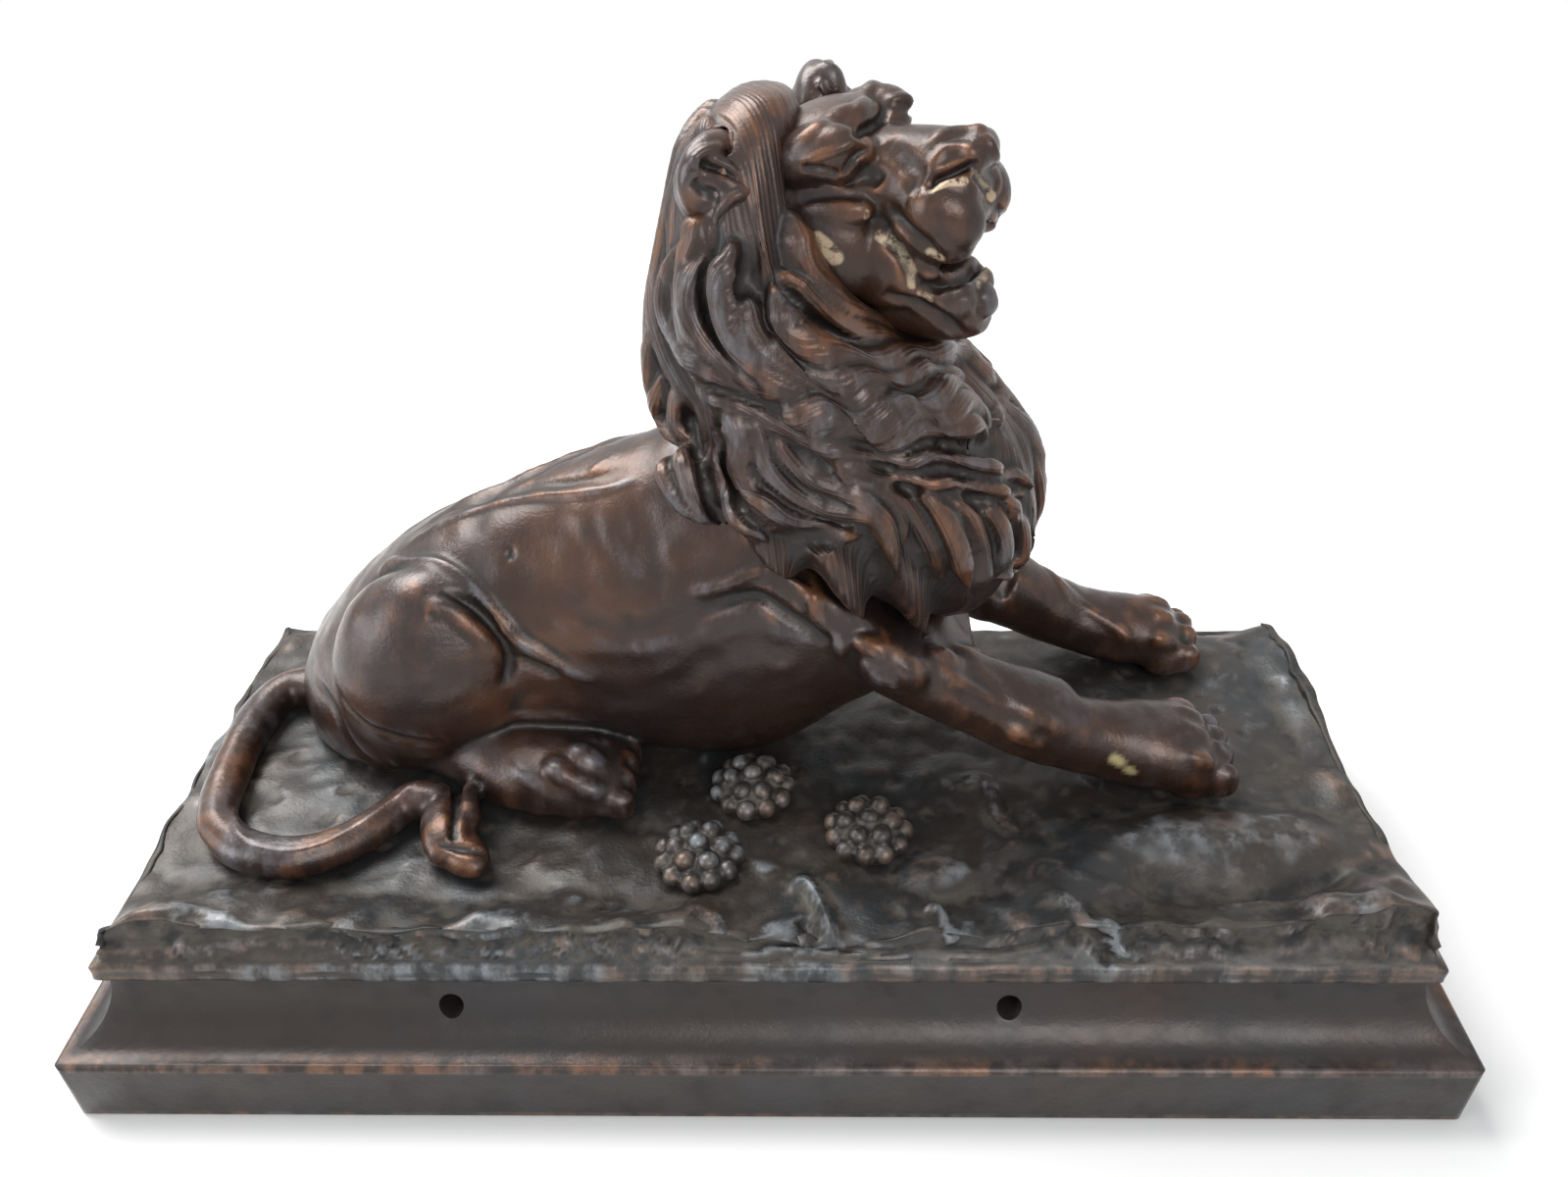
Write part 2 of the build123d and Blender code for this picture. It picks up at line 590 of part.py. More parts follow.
with BuildPart() as tail:
    tail_run = [(TRUNK[0][0] - JOINT_GAP, TAIL_ROOT_Y, TAIL[0][2]), *TAIL]
    run_of_ovals(
        [above_seat(x, y, TAIL_CENTRE) for x, y, _ in tail_run],
        [(radius, radius) for *_, radius in tail_run],
    )
    for place, turn, radii in TUFT_LOCKS:
        oval(Location(above_seat(*place), (0, 0, turn)), radii)
    dress_foot()
    drill(TAIL_DOWEL, TAIL_DOWEL_RADIUS)
tail.part.label = "tail"

# ======== dowels and fixings ========
with BuildPart() as neck_rod:
    rod(*NECK_ROD, NECK_ROD_RADIUS)
neck_rod.part.label = "neck_rod"

with BuildPart() as foreleg_dowels:
    for ends in FORELEG_DOWELS:
        rod(*ends, FORELEG_DOWEL_RADIUS)
foreleg_dowels.part.label = "foreleg_dowels"

with BuildPart() as hind_foot_dowels:
    for ends in HIND_DOWELS:
        rod(*ends, HIND_DOWEL_RADIUS)
hind_foot_dowels.part.label = "hind_foot_dowels"

with BuildPart() as tail_dowel:
    rod(*TAIL_DOWEL, TAIL_DOWEL_RADIUS)
tail_dowel.part.label = "tail_dowel"

with BuildPart() as figure_studs:
    with BuildSketch(Plane.XY.offset(CAVITY_HEIGHT - STUD_STICK_OUT)):
        with Locations(*STUD_PLACES):
            Circle(STUD_RADIUS)
    extrude(amount=STUD_STICK_OUT + FIGURE_FOOT - CAVITY_HEIGHT + STUD_DEPTH)
figure_studs.part.label = "figure_studs"

with BuildPart() as figure_washers:
    with BuildSketch(Plane.XY.offset(CAVITY_HEIGHT)):
        with Locations(*STUD_PLACES):
            Circle(FIGURE_WASHER_RADIUS)
            Circle(STUD_RADIUS + WASHER_CLEARANCE, mode=Mode.SUBTRACT)
    extrude(amount=-FIGURE_WASHER_THICKNESS)
figure_washers.part.label = "figure_washers"

with BuildPart() as figure_nuts:
    with BuildSketch(Plane.XY.offset(CAVITY_HEIGHT - FIGURE_WASHER_THICKNESS)):
        with Locations(*STUD_PLACES):
            RegularPolygon(FIGURE_NUT_FLATS / 2, 6, major_radius=False)
            Circle(STUD_RADIUS + DOWEL_CLEARANCE, mode=Mode.SUBTRACT)
    extrude(amount=-FIGURE_NUT_THICKNESS)
figure_nuts.part.label = "figure_nuts"

with BuildPart() as terrace_screw_washers:
    with BuildSketch(Plane.XY.offset(CAVITY_HEIGHT)):
        with GridLocations(SCREW_PITCH_X, SCREW_PITCH_Y, 2, 2):
            Circle(SCREW_WASHER_RADIUS)
            Circle(SCREW_RADIUS + WASHER_CLEARANCE, mode=Mode.SUBTRACT)
    extrude(amount=-SCREW_WASHER_THICKNESS)
terrace_screw_washers.part.label = "terrace_screw_washers"

with BuildPart() as terrace_screws:
    with BuildSketch(Plane.XY.offset(CAVITY_HEIGHT - SCREW_WASHER_THICKNESS)):
        with GridLocations(SCREW_PITCH_X, SCREW_PITCH_Y, 2, 2):
            Circle(SCREW_HEAD_RADIUS)
    extrude(amount=-SCREW_HEAD_HEIGHT)
    with BuildSketch(Plane.XY.offset(CAVITY_HEIGHT - SCREW_WASHER_THICKNESS)):
        with GridLocations(SCREW_PITCH_X, SCREW_PITCH_Y, 2, 2):
            Circle(SCREW_RADIUS)
    extrude(amount=SCREW_WASHER_THICKNESS + PLINTH_TOP + SCREW_DEPTH)
    with BuildSketch(Plane.XY.offset(CAVITY_HEIGHT - SCREW_WASHER_THICKNESS - SCREW_HEAD_HEIGHT)):
        with GridLocations(SCREW_PITCH_X, SCREW_PITCH_Y, 2, 2):
            Rectangle(2 * SCREW_HEAD_RADIUS, SCREW_SLOT_WIDTH)
    extrude(amount=SCREW_SLOT_DEPTH, mode=Mode.SUBTRACT)
terrace_screws.part.label = "terrace_screws"

os.makedirs("parts", exist_ok=True)
export_step(plinth.part, "parts/plinth.step")
export_step(terrace.part, "parts/terrace.step")
export_step(berry_clusters.part, "parts/berry_clusters.step")
export_step(lion_body.part, "parts/lion_body.step")
export_step(lion_head.part, "parts/lion_head.step")
export_step(lion_mane.part, "parts/lion_mane.step")
export_step(near_foreleg.part, "parts/near_foreleg.step")
export_step(far_foreleg.part, "parts/far_foreleg.step")
export_step(near_hind_foot.part, "parts/near_hind_foot.step")
export_step(far_hind_foot.part, "parts/far_hind_foot.step")
export_step(tail.part, "parts/tail.step")
export_step(neck_rod.part, "parts/neck_rod.step")
export_step(foreleg_dowels.part, "parts/foreleg_dowels.step")
export_step(hind_foot_dowels.part, "parts/hind_foot_dowels.step")
export_step(tail_dowel.part, "parts/tail_dowel.step")
export_step(figure_studs.part, "parts/figure_studs.step")
export_step(figure_washers.part, "parts/figure_washers.step")
export_step(figure_nuts.part, "parts/figure_nuts.step")
export_step(terrace_screws.part, "parts/terrace_screws.step")
export_step(terrace_screw_washers.part, "parts/terrace_screw_washers.step")
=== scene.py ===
import logging
import math
from collections.abc import Iterator
from contextlib import contextmanager
from dataclasses import dataclass
from enum import Enum

import bpy
import numpy as np
from mathutils import Matrix, Vector
from mathutils.bvhtree import BVHTree


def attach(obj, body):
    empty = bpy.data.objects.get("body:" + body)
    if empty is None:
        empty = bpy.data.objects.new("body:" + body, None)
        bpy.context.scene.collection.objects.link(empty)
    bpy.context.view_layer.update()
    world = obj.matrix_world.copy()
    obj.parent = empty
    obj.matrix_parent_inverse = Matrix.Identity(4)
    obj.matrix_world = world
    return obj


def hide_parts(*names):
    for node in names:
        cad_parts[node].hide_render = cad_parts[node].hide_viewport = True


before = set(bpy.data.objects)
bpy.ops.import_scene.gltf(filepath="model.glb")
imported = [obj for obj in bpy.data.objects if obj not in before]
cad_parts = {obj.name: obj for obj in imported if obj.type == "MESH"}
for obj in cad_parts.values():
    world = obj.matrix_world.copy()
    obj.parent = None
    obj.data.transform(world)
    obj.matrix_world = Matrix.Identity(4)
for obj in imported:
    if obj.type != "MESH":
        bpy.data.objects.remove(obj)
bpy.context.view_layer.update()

LOG = logging.getLogger("lion")
MM = 0.001

# In millimetres: the planes that lines are drawn on, the terrace's lip, and the seat that the figure stands on.
MIDDLE_X = 5.0
MIDDLE_Y = 9.5
LIP_BOTTOM = 17.6
LIP_TOP = 20.2
SEAT = 22.0
SEAT_GAP = 0.1

# A loose shell with fewer points than this is a crumb of the remeshing.
CRUMB_POINTS = 500

Line = tuple[tuple[float, float], ...]
Place = tuple[float, float, float]
Colour = tuple[float, float, float, float]
Socket = bpy.types.NodeSocket

WHITE: Colour = (1, 1, 1, 1)
CHALK: Colour = (0.40, 0.31, 0.21, 1)
SPECK: Colour = (0.50, 0.42, 0.22, 1)


class From(Enum):
    """Where a line is looked at from while it is laid on the skin: an eye, and the plane it is drawn on."""

    NEAR = ((4.8, -113.0, 128.5), 1)
    FAR = ((4.8, 132.0, 128.5), 1)
    BEHIND = ((-130.0, 9.5, 118.0), 0)
    FRONT = ((160.0, 9.5, 96.0), 0)

    def target(self, along: float, up: float) -> Vector:
        """Where a place of the drawing is.

        Args:
            along: Its place from side to side.
            up: Its height.

        Returns:
            The point on the drawing's plane.
        """
        if self.value[1]:
            return Vector((along, MIDDLE_Y, up))
        return Vector((MIDDLE_X, along, up))


class Slot(Enum):
    """The record's finishes."""

    LION = "lion_patina"
    ROCK = "rock_patina"
    PLINTH = "plinth_patina"
    BRASS = "dowel_brass"
    STEEL = "fixing_steel"


class Grain(Enum):
    """Patches that finishes are mixed from: how many to a metre, octaves, roughness and squash."""

    BROAD = (48, 3, 0.55, (1, 1, 1))
    FLUSH = (34, 4, 0.6, (1, 1, 1))
    BRIGHT = (75, 3, 0.55, (1, 1, 1))
    MIDDLE = (230, 5, 0.6, (1, 1, 1))
    STREAKS = (420, 4, 0.6, (1, 1, 0.35))
    FLAKES = (800, 6, 0.7, (1, 1, 1))
    FINE = (1900, 3, 0.6, (1, 1, 1))


# ---------------------------------------------------------------- finishes


class NodeBench:
    """The nodes of a material or of the room, added and wired one after another."""

    def __init__(self, owner: bpy.types.Material | bpy.types.World) -> None:
        """Start an empty set of nodes.

        Args:
            owner: The new material or world.
        """
        owner.use_nodes = True
        self.owner = owner
        self.tree = owner.node_tree
        self.tree.nodes.clear()
        self.output = self.add("OutputWorld" if isinstance(owner, bpy.types.World) else "OutputMaterial")

    def add(self, kind: str, *values: object, settings: dict | None = None,
            **named: object) -> bpy.types.Node:
        """Add a node, set its options and fill its sockets.

        Args:
            kind: The node's type, without the ShaderNode that all begin with.
            values: What the first sockets get: plain values, or sockets to wire in.
            settings: Options of the node itself.
            named: What other sockets get, by name, with _ for a space.

        Returns:
            The new node.
        """
        node = self.tree.nodes.new("ShaderNode" + kind)
        for key, value in (settings or {}).items():
            setattr(node, key, value)
        for index, value in enumerate(values):
            self.wire(node.inputs[index], value)
        for key, value in named.items():
            self.wire(node.inputs[key.replace("_", " ")], value)
        return node

    def wire(self, socket: Socket, value: object) -> None:
        """Link a socket, or set its value.

        Args:
            socket: The input to fill.
            value: An output socket, or a plain value.
        """
        if isinstance(value, Socket):
            self.tree.links.new(value, socket)
        else:
            socket.default_value = value

    def place(self) -> Socket:
        """Where each point of the piece is."""
        return self.add("TexCoord").outputs["Object"]

    def painted(self, name: str) -> Socket:
        """Read a value kept on the piece's points."""
        return self.add("Attribute", settings={"attribute_name": name}).outputs["Fac"]

    def noise(self, grain: Grain) -> Socket:
        """Noise over the piece's own place.

        Args:
            grain: Its size and kind.

        Returns:
            The noise's value.
        """
        scale, detail, rough, squash = grain.value
        turned = self.add("Mapping", Vector=self.place(), Scale=squash).outputs["Vector"]
        return self.add("TexNoise", Vector=turned, Scale=scale, Detail=detail, Roughness=rough).outputs["Fac"]

    def step(self, value: Socket, low: float, high: float, least: float = 0.0, most: float = 1.0) -> Socket:
        """Take a value that runs from low to high to one from least to most, with soft ends."""
        soft = {"interpolation_type": "SMOOTHSTEP"}
        return self.add("MapRange", value, low, high, least, most, settings=soft).outputs[0]

    def sum(self, kind: str, first: Socket, second: object = 0.0) -> Socket:
        """Join two values with a Math node's operation."""
        return self.add("Math", first, second, settings={"operation": kind}).outputs[0]

    def plus(self, first: Socket, second: object) -> Socket:
        """Add two values."""
        return self.sum("ADD", first, second)

    def times(self, first: Socket, second: object) -> Socket:
        """Multiply two values."""
        return self.sum("MULTIPLY", first, second)

    def mix(self, share: Socket, first: object, second: object) -> Socket:
        """Mix two colours.

        Args:
            share: How much of the second colour there is.
            first: The first colour.
            second: The second colour.

        Returns:
            The mixed colour.
        """
        node = self.add("Mix", share, settings={"data_type": "RGBA"})
        self.wire(node.inputs[6], first)
        self.wire(node.inputs[7], second)
        return node.outputs[2]

    def close(self, shader: bpy.types.Node) -> bpy.types.ID:
        """Wire the last shader to the output, and give back the material or world."""
        self.wire(self.output.inputs["Surface"], shader.outputs[0])
        return self.owner


@dataclass(frozen=True)
class Patina:
    """Browned metal, worn through to copper where hands and cloths reach it, with a painted bluish-grey sheen
    laid on its raised parts.
    """

    name: str
    deep: Colour
    brown: Colour
    steel: Colour
    copper: Colour
    dust: Colour
    # The painted sheen: a lighter bluish-grey tone laid on raised parts and edges, where highlights fall.
    painted_sheen: Colour
    rough: float
    metal: float
    steel_share: float = 0.5
    dust_share: float = 0.0
    # How much of the copper and the painted sheen is laid on raised parts.
    rub_and_sheen_share: float = 0.5
    pits: float = 0.3
    flush: float = 0.05
    coat: float = 0.15
    # Heights, in millimetres, of edges that are worn to copper and given painted sheen.
    worn_and_sheen_levels: tuple[float, ...] = ()
    ior: float = 1.42
    coat_rough: float = 0.3
    pit_depth: float = 0.6 * MM

    def make(self) -> bpy.types.Material:
        """Build the finish.

        Returns:
            The material.
        """
        bench = NodeBench(bpy.data.materials.new(self.name))
        middle = bench.noise(Grain.MIDDLE)
        hollow = bench.painted("hollow")
        wear = bench.painted("wear")
        if self.worn_and_sheen_levels:
            height = bench.add("SeparateXYZ", bench.place()).outputs["Z"]
            for level in self.worn_and_sheen_levels:
                off = bench.sum("ABSOLUTE", bench.sum("SUBTRACT", height, level * MM))
                wear = bench.sum("MAXIMUM", wear, bench.step(off, 0.0001, 0.0009, 0.8, 0.0))
        blued = bench.step(bench.noise(Grain.BROAD), 0.42, 0.66, 0.0, self.steel_share)
        flushed = bench.step(bench.noise(Grain.FLUSH), 0.5, 0.72, 0.0, self.flush)
        # Raised relief and the edge levels are worn to copper in some patches and get a painted sheen of the
        # lighter tone in others.
        rub_and_sheen_mask = bench.times(bench.step(wear, 0.12, 0.95), bench.step(bench.noise(Grain.STREAKS), 0.38, 0.66))
        rub_and_sheen_tone = bench.mix(bench.step(bench.noise(Grain.BRIGHT), 0.44, 0.58), self.copper, self.painted_sheen)
        film = bench.times(bench.step(hollow, 0.02, 0.6), bench.step(middle, 0.38, 0.6))
        flakes = bench.step(bench.noise(Grain.FLAKES), 0.38, 0.54, 0.0, 0.92)
        chalk = bench.times(bench.step(bench.painted("chalk"), 0.15, 0.7), flakes)
        colour = self.brown
        for share, over in (
                (blued, self.steel),
                (flushed, self.copper),
                (bench.step(middle, 0.5, 0.8, 0.0, 0.6), self.deep),
                (bench.step(hollow, 0.05, 0.8, 0.0, 0.9), self.deep),
                # painted sheen and copper on the raised parts
                (bench.times(rub_and_sheen_mask, self.rub_and_sheen_share), rub_and_sheen_tone),
                (bench.times(film, self.dust_share), self.dust),
                (chalk, CHALK),
                (bench.painted("speck"), SPECK)):
            colour = bench.mix(share, colour, over)
        rough = bench.step(middle, 0.3, 0.75, self.rough - 0.07, self.rough + 0.12)
        rough = bench.plus(bench.plus(rough, bench.times(hollow, 0.25)), bench.times(chalk, 0.3))
        turn = bench.plus(bench.times(bench.painted("strand"), 13.0), bench.times(middle, 4.0))
        hair = bench.times(bench.sum("SINE", turn), bench.painted("hair"))
        height = bench.plus(bench.times(middle, 0.8), bench.times(bench.noise(Grain.FINE), 0.35))
        height = bench.plus(height, bench.times(hair, 0.22))
        bump = bench.add("Bump", Strength=self.pits, Distance=self.pit_depth, Height=height)
        return bench.close(bench.add(
            "BsdfPrincipled", Base_Color=colour, Metallic=self.metal, Roughness=rough, IOR=self.ior,
            Normal=bump.outputs["Normal"], Coat_Weight=self.coat, Coat_Roughness=self.coat_rough))


# In each finish, the last colour given is the painted sheen on its raised parts and edges.
FINISHES = {
    Slot.LION: Patina(
        "lion_finish", deep=(0.006, 0.005, 0.005, 1), brown=(0.030, 0.014, 0.009, 1),
        steel=(0.020, 0.019, 0.023, 1), copper=(0.19, 0.078, 0.034, 1),
        dust=(0.14, 0.11, 0.085, 1), painted_sheen=(0.125, 0.125, 0.14, 1),
        rough=0.33, metal=0.35, rub_and_sheen_share=0.6, dust_share=0.05, flush=0.34, coat=0.25,
    ),
    Slot.ROCK: Patina(
        "rock_finish", deep=(0.007, 0.007, 0.008, 1), brown=(0.030, 0.024, 0.020, 1),
        steel=(0.021, 0.027, 0.031, 1), copper=(0.15, 0.10, 0.075, 1),
        dust=(0.13, 0.11, 0.088, 1), painted_sheen=(0.19, 0.205, 0.22, 1),
        rough=0.42, metal=0.3, steel_share=0.85, dust_share=0.4, rub_and_sheen_share=0.75,
    ),
    Slot.PLINTH: Patina(
        "plinth_finish", deep=(0.008, 0.007, 0.007, 1), brown=(0.024, 0.018, 0.016, 1),
        steel=(0.022, 0.023, 0.026, 1), copper=(0.2, 0.10, 0.06, 1),
        dust=(0.12, 0.10, 0.085, 1), painted_sheen=(0.12, 0.10, 0.095, 1),
        rough=0.4, metal=0.35, dust_share=0.2, rub_and_sheen_share=0.7, pits=0.2, worn_and_sheen_levels=(0.7, 9.0, 17.5),
    ),
    Slot.BRASS: Patina(
        "dowel_finish", deep=(0.05, 0.03, 0.012, 1), brown=(0.45, 0.29, 0.10, 1),
        steel=(0.36, 0.25, 0.11, 1), copper=(0.6, 0.4, 0.15, 1),
        dust=(0.2, 0.15, 0.08, 1), painted_sheen=(0.6, 0.45, 0.2, 1), rough=0.34, metal=0.9,
    ),
    Slot.STEEL: Patina(
        "fixing_finish", deep=(0.06, 0.05, 0.045, 1), brown=(0.30, 0.28, 0.26, 1),
        steel=(0.42, 0.43, 0.44, 1), copper=(0.26, 0.17, 0.11, 1),
        dust=(0.2, 0.17, 0.14, 1), painted_sheen=(0.5, 0.5, 0.5, 1), rough=0.4, metal=0.85,
    ),
}


# ---------------------------------------------------------------- modelling tools


def only(*chosen: bpy.types.Object) -> None:
    """Deselect everything, then select these and make the first one active.

    Args:
        chosen: The objects to select.
    """
    bpy.ops.object.select_all(action="DESELECT")
    for item in chosen:
        item.select_set(True)
    bpy.context.view_layer.objects.active = chosen[0]


@contextmanager
def editing(action: str | None = "SELECT") -> Iterator[None]:
    """Work on the active object in edit mode.

    Args:
        action: How its points are selected first, or nothing to leave them as they are.
    """
    bpy.ops.object.mode_set(mode="EDIT")
    if action:
        bpy.ops.mesh.select_all(action=action)
    yield
    bpy.ops.object.mode_set(mode="OBJECT")


def copied(node: str) -> bpy.types.Object:
    """Copy a CAD node's mesh in a new object, with its loose triangles merged.

    Args:
        node: The node that is copied.

    Returns:
        The copy.
    """
    piece = bpy.data.objects.new(node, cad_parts[node].data.copy())
    bpy.context.scene.collection.objects.link(piece)
    only(piece)
    with editing():
        bpy.ops.mesh.remove_doubles(threshold=0.002 * MM)
    return piece


def pebble(centre: Place, radii: Place, turn: Place = (0, 0, 0), boxy: float = 0.0) -> bpy.types.Object:
    """A lump of clay to join to a piece before its skin is made.

    Args:
        centre: Its middle, in millimetres.
        radii: Its half sizes, in millimetres.
        turn: Its rotation, in degrees.
        boxy: How far it goes from a ball, 0, to a block, 1.

    Returns:
        The lump.
    """
    bpy.ops.object.select_all(action="DESELECT")
    bpy.ops.mesh.primitive_uv_sphere_add(
        segments=20, ring_count=12, radius=MM, location=[MM * v for v in centre],
        rotation=[math.radians(v) for v in turn], scale=radii)
    lump = bpy.context.object
    for vertex in lump.data.vertices:
        vertex.co *= (MM / max(abs(value) for value in vertex.co)) ** boxy
    bpy.ops.object.transform_apply(location=True, rotation=True, scale=True)
    return lump


def gathered(name: str, parts: list[bpy.types.Object]) -> bpy.types.Object:
    """Make one object of several, and name it.

    Args:
        name: The name of the result.
        parts: The objects, which are used up.

    Returns:
        The object.
    """
    only(*parts)
    if len(parts) > 1:
        bpy.ops.object.join()
    piece = bpy.context.object
    piece.name = piece.data.name = name
    return piece


def joined(name: str, parts: list[bpy.types.Object], voxel: float) -> bpy.types.Object:
    """Join closed pieces, give them one even skin and drop the crumbs that it leaves.

    Args:
        name: The name of the result.
        parts: The pieces, which are used up.
        voxel: The skin's mesh size, in millimetres.

    Returns:
        The skinned piece.
    """
    piece = gathered(name, parts)
    skin = piece.modifiers.new("skin", "REMESH")
    skin.mode = "VOXEL"
    skin.voxel_size = voxel * MM
    bpy.ops.object.modifier_apply(modifier="skin")
    with editing():
        bpy.ops.mesh.separate(type="LOOSE")
    shells = sorted(bpy.context.selected_objects, key=lambda shell: shell.name)
    kept = [shell for shell in shells if len(shell.data.vertices) > CRUMB_POINTS]
    for crumb in set(shells) - set(kept):
        bpy.data.objects.remove(crumb)
    return gathered(name, kept)


def ripple(points: np.ndarray, size: float, seed: int, waves: int = 28) -> np.ndarray:
    """A soft, uneven field over space, made of waves in many directions.

    Args:
        points: Where it is read, in millimetres.
        size: The rough width of a bump, in millimetres.
        seed: The draw that it comes from.
        waves: How many waves there are.

    Returns:
        Values of about -1 to 1.
    """
    draw = np.random.default_rng(seed)
    total = np.zeros(len(points))
    for _ in range(waves):
        way = draw.normal(size=3)
        way *= math.pi / size / np.linalg.norm(way) * draw.uniform(0.6, 1.5)
        total += np.sin(points @ way + draw.uniform(0, math.tau))
    return total / math.sqrt(waves)


def rippled(points: np.ndarray, layers: tuple) -> np.ndarray:
    """Ripples laid over one another, each with its height, size and seed."""
    return sum(height * ripple(points, size, seed) for height, size, seed in layers)


def curve_through(points: np.ndarray, steps: int) -> np.ndarray:
    """A smooth line through points.

    Args:
        points: The points, one to a row.
        steps: How many stretches there are between two of them.

    Returns:
        The line's points.
    """
    ends = np.vstack([2 * points[0] - points[1], points, 2 * points[-1] - points[-2]])
    line = []
    for index in range(1, len(ends) - 2):
        a, b, c, d = ends[index - 1:index + 3]
        for step in range(steps):
            t = step / steps
            line.append(0.5 * (2 * b + (c - a) * t + (2 * a - 5 * b + 4 * c - d) * t**2
                               + (3 * b - a - 3 * c + d) * t**3))
    line.append(points[-1])
    return np.array(line)


@dataclass(frozen=True)
class Stroke:
    """A soft ridge or cut of the modeller's tool, or a painted mark."""

    name: str
    line: Line
    half: float
    height: float


@dataclass(frozen=True)
class Lock:
    """One hank of hair, laid over the skin."""

    name: str
    line: Line
    half: float
    lift: float


@dataclass(frozen=True)
class Toe:
    """A long lump of clay that lies half in the skin, such as a toe or a curl."""

    name: str
    line: Line
    radius: float
    sink: float


def drawn(kind: type, *rows: tuple) -> list:
    """Make strokes, locks or toes from rows of a name, two sizes and the places of a line."""
    return [kind(name, tuple(line), first, second) for name, first, second, *line in rows]


class Skin:
    """The points of a piece while it is carved, in millimetres."""

    fade = 0.18
    relief = ((4, 0.05), (24, 0.24), (90, 1.3))

    def __init__(self, piece: bpy.types.Object) -> None:
        """Read the piece's points and edges.

        Args:
            piece: The piece to carve.
        """
        self.piece = piece
        mesh = piece.data
        self.count = len(mesh.vertices)
        flat = np.empty(self.count * 3, np.float32)
        mesh.vertices.foreach_get("co", flat)
        self.points = flat.reshape(-1, 3).astype(float) / MM
        ends = np.empty(len(mesh.edges) * 2, np.int32)
        mesh.edges.foreach_get("vertices", ends)
        self.first, self.second = ends.reshape(-1, 2).T
        self.valence = np.bincount(ends, minlength=self.count).clip(1)
        self.painted: dict[str, np.ndarray] = {}

    def neighbours(self, values: np.ndarray) -> np.ndarray:
        """The mean of each point's neighbours.

        Args:
            values: One row for each point.

        Returns:
            The means.
        """
        wide = values.reshape(self.count, -1)
        total = np.empty_like(wide)
        for column in range(wide.shape[1]):
            total[:, column] = (
                np.bincount(self.first, wide[self.second, column], self.count)
                + np.bincount(self.second, wide[self.first, column], self.count))
        return (total / self.valence[:, None]).reshape(values.shape)

    def smooth(self, rounds: int, share: float = 0.5, where: np.ndarray | None = None) -> None:
        """Let the points settle towards their neighbours.

        Args:
            rounds: How often.
            share: How far each time.
            where: How much each point takes part.
        """
        part = share if where is None else share * where[:, None]
        for _ in range(rounds):
            self.points += (self.neighbours(self.points) - self.points) * part

    def write(self) -> None:
        """Put the points back in the mesh."""
        self.piece.data.vertices.foreach_set("co", (self.points * MM).astype(np.float32).ravel())
        self.piece.data.update()

    def normals(self) -> np.ndarray:
        """The outward directions at the points.

        Returns:
            Unit vectors.
        """
        self.write()
        flat = np.empty(self.count * 3, np.float32)
        self.piece.data.vertex_normals.foreach_get("vector", flat)
        return flat.reshape(-1, 3).astype(float)

    def push(self, amount: np.ndarray) -> None:
        """Move the points out by their amounts, or in where those are negative."""
        self.points += self.normals() * amount[:, None]

    def beside(self, line: np.ndarray, reach: float) -> tuple[np.ndarray, ...]:
        """How the points near a line lie to it.

        Args:
            line: The line's points.
            reach: How far off points are looked at.

        Returns:
            The points' numbers, their distance, their share of the line's length, the offset from the nearest
            place on it, and the line's direction there.
        """
        low, high = line.min(0) - reach, line.max(0) + reach
        near = np.flatnonzero(((self.points > low) & (self.points < high)).all(1))
        spots = self.points[near]
        best = np.full(len(near), 1e9)
        share = np.zeros(len(near))
        offset = np.zeros((len(near), 3))
        along = np.zeros((len(near), 3))
        stretch = len(line) - 1
        for index in range(stretch):
            start, run = line[index], line[index + 1] - line[index]
            t = ((spots - start) @ run / max(run @ run, 1e-9)).clip(0, 1)
            away = spots - start - t[:, None] * run
            far = np.linalg.norm(away, axis=1)
            closer = far < best
            best[closer] = far[closer]
            share[closer] = (index + t[closer]) / stretch
            offset[closer] = away[closer]
            along[closer] = run / max(np.linalg.norm(run), 1e-9)
        keep = best < reach
        return near[keep], best[keep], share[keep], offset[keep], along[keep]

    def stroke(self, line: np.ndarray, half: float, height: float) -> None:
        """Raise or cut a soft line over the skin.

        Args:
            line: Where it runs.
            half: Its half width.
            height: How far it stands proud, or cuts in when negative.
        """
        near, far, share, _, _ = self.beside(line, half)
        ends = np.clip(np.minimum(share, 1 - share) / self.fade, 0, 1) ** 0.7
        rise = height * (1 - (far / half) ** 2) ** 2 * ends
        self.points[near] += self.normals()[near] * rise[:, None]

    def carve(self, strokes: list[Stroke], ground: "Ground", look: From = From.NEAR, wider: float = 0.0,
              share: float = 1.0) -> None:
        """Lay strokes on the skin and make them, wider by so much and at this share of their height."""
        for stroke in strokes:
            self.stroke(ground.lay(stroke.line, look)[0], stroke.half + wider, stroke.height * share)

    def paint(self, name: str, marks: list[Stroke], ground: "Ground") -> None:
        """Paint a value along lines.

        Args:
            name: The attribute's name.
            marks: The lines, whose height is the value at their middle.
            ground: The skin that they are laid on.
        """
        values = self.painted.setdefault(name, np.zeros(self.count))
        for mark in marks:
            near, far, *_ = self.beside(ground.lay(mark.line)[0], mark.half)
            values[near] = np.maximum(values[near], mark.height * (1 - (far / mark.half) ** 2))

    def finish(self, grain: float) -> None:
        """Write the points, and the masks that their relief gives: the raised parts, worn to copper and given
        painted sheen, and the hollows.

        Args:
            grain: The relief that is worn through and given painted sheen, in tenths of a millimetre.
        """
        out = self.normals()
        kept = self.points.copy()
        raised = np.zeros(self.count)
        done = 0
        for rounds, scale in self.relief:
            self.smooth(rounds - done, 0.6)
            done = rounds
            raised += ((kept - self.points) * out).sum(1) / (scale * grain)
        self.points = kept
